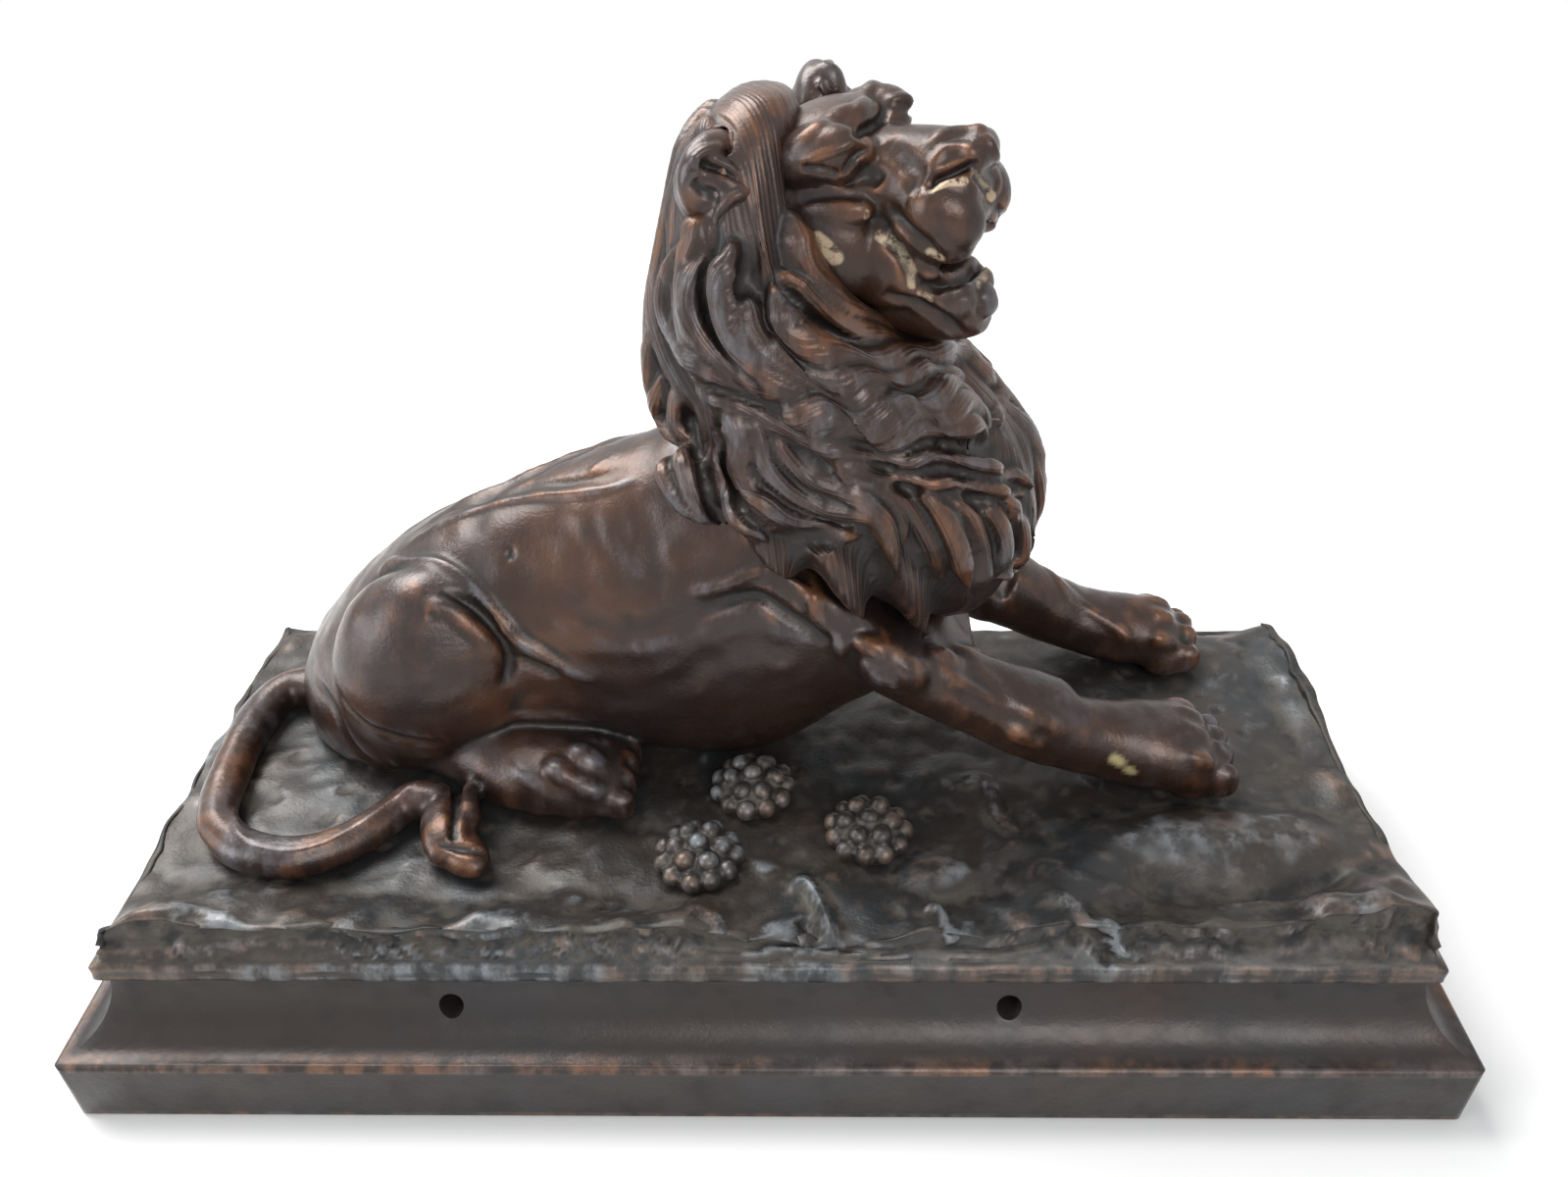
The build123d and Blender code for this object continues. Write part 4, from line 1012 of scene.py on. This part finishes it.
@dataclass
class Terrace(Piece):
    """The rough rock that the lion lies on, with its lip over the cove."""

    length: float = 149.6
    depth: float = 61.6
    inset: float = 1.2
    block_top: float = 25.0
    voxel: float = 0.5
    front: tuple = (
        (-74, 23.5), (-69, 25), (-59, 25.9), (-51, 24.6), (-40, 23.9), (-30, 23.5), (-19, 24.3), (-12, 24.6),
        (-8, 26), (-3, 24), (2.5, 21.9), (9, 20.9), (15, 23), (18.6, 25.2), (24, 22.8), (29, 24.5), (33, 26),
        (38, 25), (45, 25.3), (56, 25.3), (62, 26.3), (67, 27.6), (73, 24.7))
    right: tuple = (
        (-31, 22.6), (-27, 23.8), (-23, 24.9), (-19, 24.6), (-10, 23.7), (0, 23.6), (9, 25.1), (14, 26.2),
        (23, 25.3), (31, 22.6))
    left: tuple = (
        (-31, 22.6), (-19, 22.8), (-12, 23.3), (-2, 23.5), (8, 24), (18, 23.5), (27, 23.1), (31, 22.2))
    back: tuple = (
        (-74, 22.3), (-40, 22.6), (0, 22.4), (40, 22.2), (60, 21.4), (67, 21.3), (72, 22.4))
    bumps: tuple = (
        (55, -15, 22, 7.5, 3.4), (36, -21, 9, 6, 1.8), (-58, -24, 12, 5, 0.8), (20, -19, 5, 4, 1.4),
        (-24, -25, 10, 4, 0.7), (25, -4, 9, 6, 0.9), (65, 20, 10, 8, 1.2), (-66, 20, 8, 10, 0.7))
    crest_half: float = 1.0
    swells: tuple = ((0.22, 9, 12), (0.12, 3.4, 13), (0.05, 1.6, 14))
    chips: tuple = ((0.6, 5, 21), (0.3, 1.9, 22))
    chip_flat: float = 0.35
    lean: float = 2.3
    lean_flat: float = 0.3
    file_depth: float = 0.34
    ledge_depth: float = 0.55
    ledge_half: float = 0.13
    notch_depth: float = 0.2
    notch_half: float = 0.6
    lip_middle: float = LIP_BOTTOM + 1.3
    lip_half: float = 1.6
    lip_wear: float = 0.12

    def off_edge(self, points: np.ndarray, reach: float) -> np.ndarray:
        """How far points lie beyond a line that runs this reach inside the rock's edge."""
        x, y, _ = points.T
        return np.maximum(np.abs(x) - self.length / 2 + reach, np.abs(y) - self.depth / 2 + reach)

    def top(self, x: np.ndarray, y: np.ndarray) -> np.ndarray:
        """How high the rock stands.

        Args:
            x: Places along the base.
            y: Places across it.

        Returns:
            Heights in millimetres.
        """
        half_x, half_y = self.length / 2 - self.inset, self.depth / 2 - self.inset
        flat = np.stack([x, y, np.zeros_like(x)], 1)
        wander = 1.6 * ripple(flat, 9, 11)
        rise = np.full_like(x, SEAT + SEAT_GAP)
        for table, away, along, reach, lift in (
                (self.front, y + half_y, x, 6.5, 0.8), (self.right, half_x - x, y, 6.0, 0.0),
                (self.left, x + half_x, y, 6.0, 0.0), (self.back, half_y - y, x, 6.0, -0.1)):
            places, heights = np.array(table, float).T
            broken = (0.15 + 0.25 * lift) * ripple(flat, 3.0, 15)
            crest = np.interp(along, places, heights) - SEAT - SEAT_GAP + lift + broken
            share = np.clip(1 - np.maximum(away + wander - self.crest_half, 0) / reach, 0, 1)
            rise = rise + np.where(crest > 0, crest * share**1.3, crest * share**3)
        for bump_x, bump_y, wide, deep, high in self.bumps:
            far = ((x - bump_x) / wide) ** 2 + ((y - bump_y) / deep) ** 2
            rise += high * np.clip(1 - far, 0, 1) ** 1.5
        return rise + rippled(flat, self.swells)

    def file(self, skin: Skin, share: np.ndarray, wall: np.ndarray) -> None:
        """Mark the cliffs with a file, break them with a ledge and pit the top.

        Args:
            skin: The rock's skin.
            share: How far up the cliff each point is.
            wall: How much each point belongs to a cliff.
        """
        around = skin.points[:, 0] + 1.7 * skin.points[:, 1]
        slant = np.stack([around + 0.25 * skin.points[:, 2], np.zeros(skin.count), np.zeros(skin.count)], 1)
        patch = np.clip(ripple(skin.points, 11, 24) * 1.6 + 0.4, 0, 1)
        marks = np.minimum(ripple(slant, 0.8, 25, 12), 0.6) * self.file_depth * patch
        level = 0.42 + 0.12 * ripple(slant, 9, 26) + 0.05 * ripple(slant, 2.5, 27)
        ledge = -self.ledge_depth * np.exp(-((share - level) / self.ledge_half) ** 2)
        ledge += 0.3 * np.clip((level - share) * 5, 0, 1)
        cliff = np.clip(wall * 1.5, 0, 1) * (share > 0) * (share < 0.93)
        top = np.clip((share - 0.9) * 10, 0, 1) * (1 - np.clip(wall, 0, 1))
        pits = -0.28 * np.clip(ripple(skin.points, 2.4, 28) - 0.9, 0, 1)
        pits -= 0.1 * np.abs(ripple(skin.points, 5, 29))
        skin.push(cliff * (marks + ledge) + top * pits)

    def block(self) -> bpy.types.Object:
        """Block the rock out from the given sizes: a slab for the lip, drawn up inside its edge.

        Returns:
            The block.
        """
        bpy.ops.object.select_all(action="DESELECT")
        bpy.ops.mesh.primitive_cube_add(size=1, location=(0, 0, (LIP_BOTTOM + LIP_TOP) / 2 * MM))
        piece = bpy.context.object
        piece.scale = (self.length * MM, self.depth * MM, (LIP_TOP - LIP_BOTTOM) * MM)
        bpy.ops.object.transform_apply(location=True, rotation=True, scale=True)
        with editing("DESELECT"):
            pass
        for face in piece.data.polygons:
            face.select = face.normal.z > 0.5
        with editing(None):
            bpy.ops.mesh.inset(thickness=self.inset * MM)
            bpy.ops.mesh.extrude_region_move(
                TRANSFORM_OT_translate={"value": (0, 0, (self.block_top - LIP_TOP) * MM)})
        return piece

    def build(self) -> None:
        """Give the block a skin, draw it up to the rock's height and carve it."""
        self.made = joined(self.name, [self.block()], self.voxel)
        skin = Skin(self.made)
        x, y, z = skin.points.T
        share = np.clip((z - LIP_TOP) / (self.block_top - LIP_TOP), 0, 1)
        top = self.top(x, y)
        skin.points[:, 2] = np.where(share > 0, LIP_TOP + share * (top - LIP_TOP), z)
        wall = np.clip(share * 3, 0, 1) * np.clip(self.off_edge(skin.points, 4) / 4, 0, 1)
        flat = skin.points.copy()
        flat[:, 2] *= self.chip_flat
        chip = rippled(flat, self.chips) - 0.3
        out = skin.normals()
        out[:, 2] *= self.lean_flat
        skin.points += out * (wall * chip - self.lean * share**1.3 * wall)[:, None]
        skin.smooth(1, 0.4)
        skin.carve(ROCK_STROKES, Ground.of_skin(skin))
        self.file(skin, share, wall)
        skin.smooth(4, 0.5, np.clip(wall * 3, 0, 1) * (share > 0.75))
        notch = (np.abs(z - LIP_TOP) < self.notch_half) & (wall > 0.2)
        skin.push(-self.notch_depth * notch)
        lip = np.clip(1 - np.abs(z - self.lip_middle) / self.lip_half, 0, 1)
        lip *= self.off_edge(skin.points, 1.4) > 0
        skin.push(lip * (0.16 * ripple(skin.points, 4, 23) - self.lip_wear))
        skin.finish(1.6)


@dataclass
class Berries(Piece):
    """Three clusters of berries on the rock."""

    voxel: float = 0.26
    dents: tuple = ((0.1, 2.2, 31),)

    def build(self) -> None:
        """Round the beads off and wear them unevenly."""
        self.made = joined(self.name, [copied("berry_clusters")], self.voxel)
        skin = Skin(self.made)
        skin.smooth(2)
        skin.push(rippled(skin.points, self.dents))
        skin.finish(1.2)


@dataclass
class Figure(Piece):
    """The lion's trunk, legs and tail, cast as one."""

    voxel: float = 0.46
    feet: tuple = (
        ("near_paw", 55.9, 52.2, (-6.9, -4.0, -1.1, 1.8)),
        ("far_paw", 58.2, 54.4, (17.8, 20.5, 23.3, 26.0)),
        ("near_hind", -17.6, -21.0, (-10.3, -7.4, -4.5, -1.8)),
        ("far_hind", -17.6, -21.0, (18.6, 21.2, 23.8)),
    )
    dowels: tuple[str, ...] = ("foreleg_dowels", "hind_foot_dowels", "tail_dowel")
    fillers: tuple = (
        ((19.5, -5.5, 41.5), (3.6, 2.4, 3.4), (0, 25, 20)),
        ((22.0, -5.5, 38.4), (3.0, 2.0, 2.6), (0, 35, 20)),
        ((24.5, -2.2, 38.0), (7.0, 3.7, 3.7), (0, 24, 0)),
        ((31.5, -2.2, 35.2), (7.5, 4.2, 4.0), (0, 22, 0)),
        ((24.5, 21.9, 38.0), (7.0, 3.7, 3.7), (0, 24, 0)),
        ((31.5, 21.9, 35.2), (7.5, 4.2, 4.0), (0, 22, 0)),
        ((-36.4, -11.6, 24.0), (3.9, 6.0, 2.3), (0, 0, -8), 0.5),
    )
    joint_spots: tuple = ((30.8, -2.8, 38.6), (30.0, -0.5, 37.8))
    joint_reach: float = 4.5
    joint_rounds: int = 70
    toe_tip: tuple = (2.3, 1.55)
    toe_back: tuple = (3.2, 1.35, 1.7)
    toe_slope: float = 24.0
    far_share: float = 0.8
    dents: tuple = ((0.1, 6, 41), (0.05, 2.2, 42))
    lowest: float = SEAT - 0.6

    def toe(self, ground: Ground, toe: Toe, look: From = From.NEAR) -> bpy.types.Object:
        """Lay one toe or curl half into the skin.

        Args:
            ground: The skin that it is laid on.
            toe: Its place and size.
            look: Where it is seen from.

        Returns:
            The lump.
        """
        line, out = ground.lay(toe.line, look, 2)
        run = line[-1] - line[0]
        middle = (line[0] + line[-1]) / 2 - np.array(out[1]) * toe.radius * toe.sink
        flat = math.hypot(run[0], run[1])
        turn = (0, -math.degrees(math.atan2(run[2], flat)), math.degrees(math.atan2(run[1], run[0])))
        radii = (np.linalg.norm(run) / 2 + toe.radius * 0.8, toe.radius, toe.radius)
        return pebble(tuple(middle), radii, turn, 0.15)

    def knuckles(self, ground: Ground) -> list:
        """Set a row of toes at the end of each foot.

        Args:
            ground: The feet before their toes.

        Returns:
            The toes' lumps.
        """
        lumps = []
        for _, tip, back, places in self.feet:
            for place in places:
                above = ground.tree.ray_cast(Vector((back, place, 60)), Vector((0, 0, -1)))[0]
                top = above.z if above else SEAT + 5
                tip_radii = (*self.toe_tip, (top - SEAT) * 0.42)
                lumps.append(pebble((tip, place, (SEAT + top) / 2 - 0.4), tip_radii, boxy=0.2))
                lumps.append(pebble((back, place, top - 0.9), self.toe_back, (0, self.toe_slope, 0), 0.2))
        return lumps

    def build(self) -> None:
        """Join the limbs to the trunk and carve the muscles."""
        parts = [copied(node) for node in self.nodes + self.dowels]
        parts += [pebble(*filler) for filler in self.fillers]
        bare = Ground.of_nodes(self.nodes)
        parts += [self.toe(bare, curl, From.FAR) for curl in ELBOW_CURLS]
        parts += [self.toe(bare, toe) for toe in TOES + ELBOW_CURLS]
        parts += self.knuckles(Ground.of_nodes(self.nodes[1:5]))
        ground = Ground.of_nodes(self.nodes + ("lion_mane",))
        self.made = joined(self.name, parts, self.voxel)
        skin = Skin(self.made)
        skin.smooth(4)
        for spot in self.joint_spots:
            far = np.linalg.norm(skin.points - np.array(spot), axis=1)
            skin.smooth(self.joint_rounds, 0.6, np.clip(1.4 - far / self.joint_reach, 0, 1))
        own = Ground.of_skin(skin)
        skin.carve(SIDE_STROKES + LIMB_STROKES, ground)
        skin.carve(TUFT_GROOVES, own)
        skin.carve(TAIL_STROKES, ground)
        skin.carve(SIDE_STROKES, ground, From.FAR, share=self.far_share)
        skin.smooth(1, 0.4)
        skin.push(rippled(skin.points, self.dents))
        skin.paint("speck", SPECKS, ground)
        skin.points[:, 2] = np.maximum(skin.points[:, 2], self.lowest)
        skin.finish(1.6)


@dataclass
class Mane(Piece):
    """The mane, laid in hanks that sweep down and forward."""

    voxel: float = 0.42
    sink: float = 0.9
    pitch: float = 1.15
    furrow: float = 0.13
    tall: float = 1.5
    seam: float = 0.45
    root_share: float = 0.15
    tip_share: float = 0.32
    cut_wider: float = 0.6
    nape_top: float = 100.0
    nape_drop: float = 6.5
    nape_half: float = 2.3
    bib_top: float = 71.0
    bib_drop: float = 5.5
    bib_half: float = 2.2
    fill: tuple = (((2, 8, 88), (8, 8, 9)), ((12.5, 10.5, 79.5), (8.5, 9.5, 7.5)))

    def nape(self) -> list[Lock]:
        """The hanks that run down the back of the neck.

        Returns:
            The hanks, as seen from behind.
        """
        hanks = []
        for place in range(-4, 5):
            sway = 1.2 * (-1) ** place
            line = tuple(
                (MIDDLE_Y - 4.5 + 0.15 * k + place * (1.2 + 0.62 * k) + sway * math.sin(1.3 * k + place),
                 self.nape_top - self.nape_drop * k) for k in range(7))
            hanks.append(Lock(f"nape_{place + 4}", line, self.nape_half, 0.1 * (place % 3)))
        return hanks

    def bib(self) -> list[Lock]:
        """The hanks that hang over the breast.

        Returns:
            The hanks, as seen from the front.
        """
        hanks = []
        for place in range(-1, 5):
            line = tuple(
                (MIDDLE_Y + 3.9 * place + 1.1 * math.sin(1.5 * k + 2 * place), self.bib_top - self.bib_drop * k)
                for k in range(-2, 9))
            hanks.append(Lock(f"bib_{place + 1}", line, self.bib_half, 0.15 * (place % 2)))
        return hanks

    def build(self) -> None:
        """Lay the hanks on the mane and comb them."""
        parts = [copied("lion_mane")] + [pebble(*lump) for lump in self.fill]
        self.made = joined(self.name, parts, self.voxel)
        skin = Skin(self.made)
        skin.smooth(45, 0.6)
        ground = Ground.of_skin(skin)
        high = np.zeros(skin.count)
        strand = np.zeros(skin.count)
        layers = [(lock, look) for look in (From.NEAR, From.FAR) for lock in LOCKS]
        layers += [(lock, From.BEHIND) for lock in self.nape()] + [(lock, From.FRONT) for lock in self.bib()]
        for lock, look in layers:
            self.lay(skin, ground, lock, look, high, strand)
        bare = high <= 0
        strand[bare] = 0.8 * skin.points[bare, 0] + 0.5 * skin.points[bare, 1]
        wave = 0.5 + 0.5 * np.cos(math.tau * strand / self.pitch)
        covered = np.clip(0.6 + high / 2, 0, 1)
        skin.push(high - self.sink - self.furrow * wave * covered)
        for look in (From.NEAR, From.FAR):
            skin.carve(MANE_CUTS, ground, look, wider=self.cut_wider)
        skin.smooth(1, 0.3)
        ends = np.abs(strand[skin.first] - strand[skin.second]) > self.seam
        apart = np.zeros(skin.count)
        apart[skin.first[ends]] = 1
        apart[skin.second[ends]] = 1
        apart = np.maximum(apart, skin.neighbours(apart) > 0)
        skin.painted["strand"] = strand
        skin.painted["hair"] = covered * (1 - apart)
        skin.finish(1.3)

    def lay(self, skin: Skin, ground: Ground, lock: Lock, look: From, high: np.ndarray,
            strand: np.ndarray) -> None:
        """Raise one hank, where it lies over what is there already.

        Args:
            skin: The mane's skin.
            ground: The skin that the hank is laid on.
            lock: The hank.
            look: Where it is seen from.
            high: How far each point is raised, which is brought up to date.
            strand: How far each point lies from its hank's middle, also brought up to date.
        """
        line, _ = ground.lay(lock.line, look)
        near, _, share, offset, along = skin.beside(line, lock.half * 1.3)
        if not len(near):
            return
        normals = skin.normals()[near]
        flat = offset - (offset * normals).sum(1)[:, None] * normals
        side = (offset * np.cross(normals, along)).sum(1)
        root, tip = share / self.root_share + 0.35, (1 - share) / self.tip_share + 0.12
        swell = np.clip(np.minimum(root, tip), 0, 1)
        off = np.linalg.norm(flat, axis=1) / (lock.half * swell**0.7)
        rise = (lock.lift + self.tall * (1 - off**2)) * swell**0.5
        over = (off < 1) & (rise > high[near])
        high[near[over]] = rise[over]
        strand[near[over]] = side[over]


@dataclass
class Head(Piece):
    """The lion's head, raised and turned towards the viewer's side."""

    voxel: float = 0.26
    place: tuple = (5.0, 7.0, 91.8)
    turn: tuple = (7.0, -14.0, -30.0)
    forms: tuple = (
        ("cheek_foot", (8.5, 3.8, -5.0), (6.8, 3.2, 4.6), (0, 20, 0)),
        ("jaw_side", (12.6, 2.2, -9.4), (5.2, 2.4, 2.6), (0, 18, 0)),
        ("muzzle_side", (14.6, 2.6, 0.6), (5.6, 2.8, 3.4), (0, 0, 0)),
        ("cheekbone", (6.0, 5.8, 1.4), (5.0, 2.2, 2.0), (0, 10, 0)),
        ("temple", (5.4, 5.4, 6.2), (5.6, 2.8, 2.6), (0, -10, 0)),
    )
    middle_forms: tuple = (
        ("chin", (16.9, 0.0, -11.6), (2.7, 2.9, 3.2), (0, -6, 0), 0.6),
        ("muzzle_front", (17.6, 0.0, -1.9), (3.7, 4.2, 3.2), (0, 0, 0), 0.5),
        ("jaw_middle", (13.0, 0.0, -11.0), (4.4, 3.3, 3.0), (0, 14, 0), 0.5),
        ("forehead", (4.5, 0.0, 7.0), (5.5, 6.0, 2.6), (0, 0, 0), 0.0),
        ("inside", (0.0, 0.0, 0.0), (9.0, 8.0, 8.0), (0, 0, 0), 0.0),
        ("far_ear_top", (0.4, 9.2, 8.4), (2.8, 1.7, 4.2), (0, 0, 0), 0.3),
        ("near_ruff_slab", (0.9, -9.2, 0.2), (3.1, 1.9, 10.2), (4, 26, -6), 0.8),
        ("far_ruff_slab", (0.9, 9.2, 0.2), (3.1, 1.9, 10.2), (-4, 26, 6), 0.8),
    )
    ear: tuple = ((-2.0, 11.4, 5.4), (4.2, 2.2, 4.6), (0, -12, 0))
    middle_half: float = 1.5

    def pose(self) -> Matrix:
        """The head's own frame: its place and turn, in millimetres."""
        roll, pitch, yaw = (math.radians(v) for v in self.turn)
        return (Matrix.Translation(Vector(self.place)) @ Matrix.Rotation(yaw, 4, "Z")
                @ Matrix.Rotation(pitch, 4, "Y") @ Matrix.Rotation(roll, 4, "X"))

    def lump(self, centre: Place, radii: Place, turn: Place, boxy: float = 0.0) -> bpy.types.Object:
        """A lump of clay in the head's own frame.

        Args:
            centre: Its middle.
            radii: Its half sizes.
            turn: Its own rotation, in degrees.
            boxy: How far it goes from a ball to a block.

        Returns:
            The lump.
        """
        made = pebble(centre, radii, turn, boxy)
        pose = self.pose()
        pose.translation *= MM
        made.data.transform(pose)
        return made

    def other_side(self, line: np.ndarray, ground: Ground) -> np.ndarray | None:
        """Carry a line over to the far half of the face.

        Args:
            line: A line on the near half.
            ground: The skin that it is laid on.

        Returns:
            The far line, or nothing where the line runs along the middle.
        """
        pose = self.pose()
        back = pose.inverted()
        own = [back @ Vector(point) for point in line]
        if sum(point.y for point in own) / len(own) > -self.middle_half:
            return None
        flipped = [pose @ Vector((point.x, -point.y, point.z)) for point in own]
        return np.array([ground.tree.find_nearest(point)[0] for point in flipped])

    def build(self) -> None:
        """Carve the face."""
        parts = [copied("lion_head")]
        for side in (-1, 1):
            for _, (x, y, z), radii, turn in self.forms + (("ear", *self.ear),):
                parts.append(self.lump((x, side * y, z), radii, turn))
        parts += [self.lump(*form[1:]) for form in self.middle_forms]
        self.made = joined(self.name, parts, self.voxel)
        skin = Skin(self.made)
        skin.smooth(8)
        ground = Ground.of_skin(skin)
        for stroke in FACE_STROKES:
            line, _ = ground.lay(stroke.line)
            skin.stroke(line, stroke.half, stroke.height)
            other = self.other_side(line, ground)
            if other is not None and not stroke.name.startswith("far"):
                skin.stroke(other, stroke.half, stroke.height)
        skin.paint("chalk", FACE_CHALK, ground)
        skin.smooth(1, 0.4)
        skin.finish(1.2)


@dataclass
class Hardware:
    """The dowels and fixings, which keep their CAD shapes."""

    brass: tuple[str, ...] = ("neck_rod", "foreleg_dowels", "hind_foot_dowels", "tail_dowel")
    steel: tuple[str, ...] = ("figure_studs", "figure_washers", "figure_nuts", "terrace_screws",
                              "terrace_screw_washers")

    def dress(self, finishes: dict[Slot, bpy.types.Material]) -> None:
        """Give each node its finish.

        Args:
            finishes: The materials by slot.
        """
        for nodes, slot in ((self.brass, Slot.BRASS), (self.steel, Slot.STEEL)):
            for node in nodes:
                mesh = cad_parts[node].data
                mesh.materials.clear()
                mesh.materials.append(finishes[slot])
                LOG.info("%s keeps its CAD shape", node)


@dataclass
class Studio:
    """A pale floor, soft lamps and the camera."""

    spot: tuple = (4.77612725, -113.01520411, 128.47803562)
    pitch: float = 34.93979
    yaw: float = 1.17561
    roll: float = -0.85817
    lens: float = 27.22
    floor_tone: Colour = (0.80, 0.80, 0.79, 1)
    room_tone: Colour = (0.80, 0.86, 0.92, 1)
    room_light: float = 0.5
    fade_from: float = 0.16
    fade_to: float = 0.42
    aim: Place = (0, 0, 0.05)
    lamps: tuple = (
        ("key", (-0.35, 0.25, 0.62), 0.55, 8.5, (1.0, 0.99, 0.97)),
        ("front", (0.25, -0.75, 0.55), 0.6, 5.0, (1.0, 0.97, 0.94)),
        ("side", (-0.75, -0.25, 0.25), 0.5, 3.0, (0.94, 0.97, 1.0)),
    )

    def build(self) -> None:
        """Set everything up."""
        self.floor()
        self.light()
        self.camera()
        bpy.context.scene.view_settings.view_transform = "Standard"

    def floor(self) -> None:
        """Lay a floor that fades to plain white away from the piece."""
        bpy.ops.object.select_all(action="DESELECT")
        bpy.ops.mesh.primitive_plane_add(size=8, location=(0, 0, 0))
        plane = bpy.context.object
        plane.name = "floor"
        bench = NodeBench(bpy.data.materials.new("floor_finish"))
        away = bench.add("VectorMath", bench.place(), settings={"operation": "LENGTH"}).outputs["Value"]
        path = bench.add("LightPath").outputs
        seen = bench.sum("MAXIMUM", path["Is Camera Ray"], path["Is Glossy Ray"])
        share = bench.times(seen, bench.step(away, self.fade_from, self.fade_to))
        near = bench.add("BsdfDiffuse", Color=self.floor_tone).outputs[0]
        far = bench.add("Emission", Color=WHITE, Strength=1.0).outputs[0]
        plane.data.materials.append(bench.close(bench.add("MixShader", share, near, far)))

    def light(self) -> None:
        """Hang the lamps and light the room."""
        for name, place, size, power, colour in self.lamps:
            lamp = bpy.data.lights.new(name, "AREA")
            lamp.shape = "DISK"
            lamp.size = size
            lamp.energy = power
            lamp.color = colour
            holder = bpy.data.objects.new(name, lamp)
            bpy.context.scene.collection.objects.link(holder)
            holder.location = place
            holder.rotation_euler = (Vector(self.aim) - Vector(place)).to_track_quat("-Z", "Y").to_euler()
        world = bpy.context.scene.world = bpy.data.worlds.new("room")
        bench = NodeBench(world)
        path = bench.add("LightPath").outputs
        seen = bench.sum("MAXIMUM", path["Is Camera Ray"], path["Is Glossy Ray"])
        seen = bench.sum("MAXIMUM", seen, path["Is Transmission Ray"])
        room = bench.add("Background", self.room_tone, self.room_light).outputs[0]
        shown = bench.add("Background", WHITE, 1.0).outputs[0]
        bench.close(bench.add("MixShader", seen, room, shown))

    def camera(self) -> None:
        """Stand the camera where the lion is looked at from."""
        pitch, yaw, roll = (math.radians(v) for v in (self.pitch, self.yaw, self.roll))
        turn = Matrix.Rotation(yaw, 3, "Z")
        ahead = turn @ Vector((0, math.cos(pitch), -math.sin(pitch)))
        right = turn @ Vector((1, 0, 0))
        up = right.cross(ahead)
        side = right * math.cos(roll) + up * math.sin(roll)
        top = up * math.cos(roll) - right * math.sin(roll)
        view = bpy.data.cameras.new("view")
        view.lens = self.lens
        view.sensor_width = 36
        view.clip_start = 0.005
        holder = bpy.data.objects.new("view", view)
        bpy.context.scene.collection.objects.link(holder)
        pose = Matrix((side, top, -ahead)).transposed().to_4x4()
        pose.translation = Vector(self.spot) * MM
        holder.matrix_world = pose
        bpy.context.scene.camera = holder


def main() -> None:
    """Build every piece in order, then the studio."""
    logging.basicConfig(level=logging.INFO, format="%(message)s")
    finishes = {slot: patina.make() for slot, patina in FINISHES.items()}
    pieces = [
        Plinth("plinth_cast", ("plinth",), Slot.PLINTH),
        Terrace("rock_cast", ("terrace",), Slot.ROCK),
        Berries("berry_cast", ("berry_clusters",), Slot.ROCK),
        Figure("lion_cast", ("lion_body", "near_foreleg", "far_foreleg", "near_hind_foot", "far_hind_foot",
                             "tail"), Slot.LION),
        Mane("mane_cast", ("lion_mane",), Slot.LION),
        Head("head_cast", ("lion_head",), Slot.LION),
    ]
    for piece in pieces:
        piece.build()
        piece.dress(finishes)
    Hardware().dress(finishes)
    Studio().build()


if __name__ == "__main__":
    main()
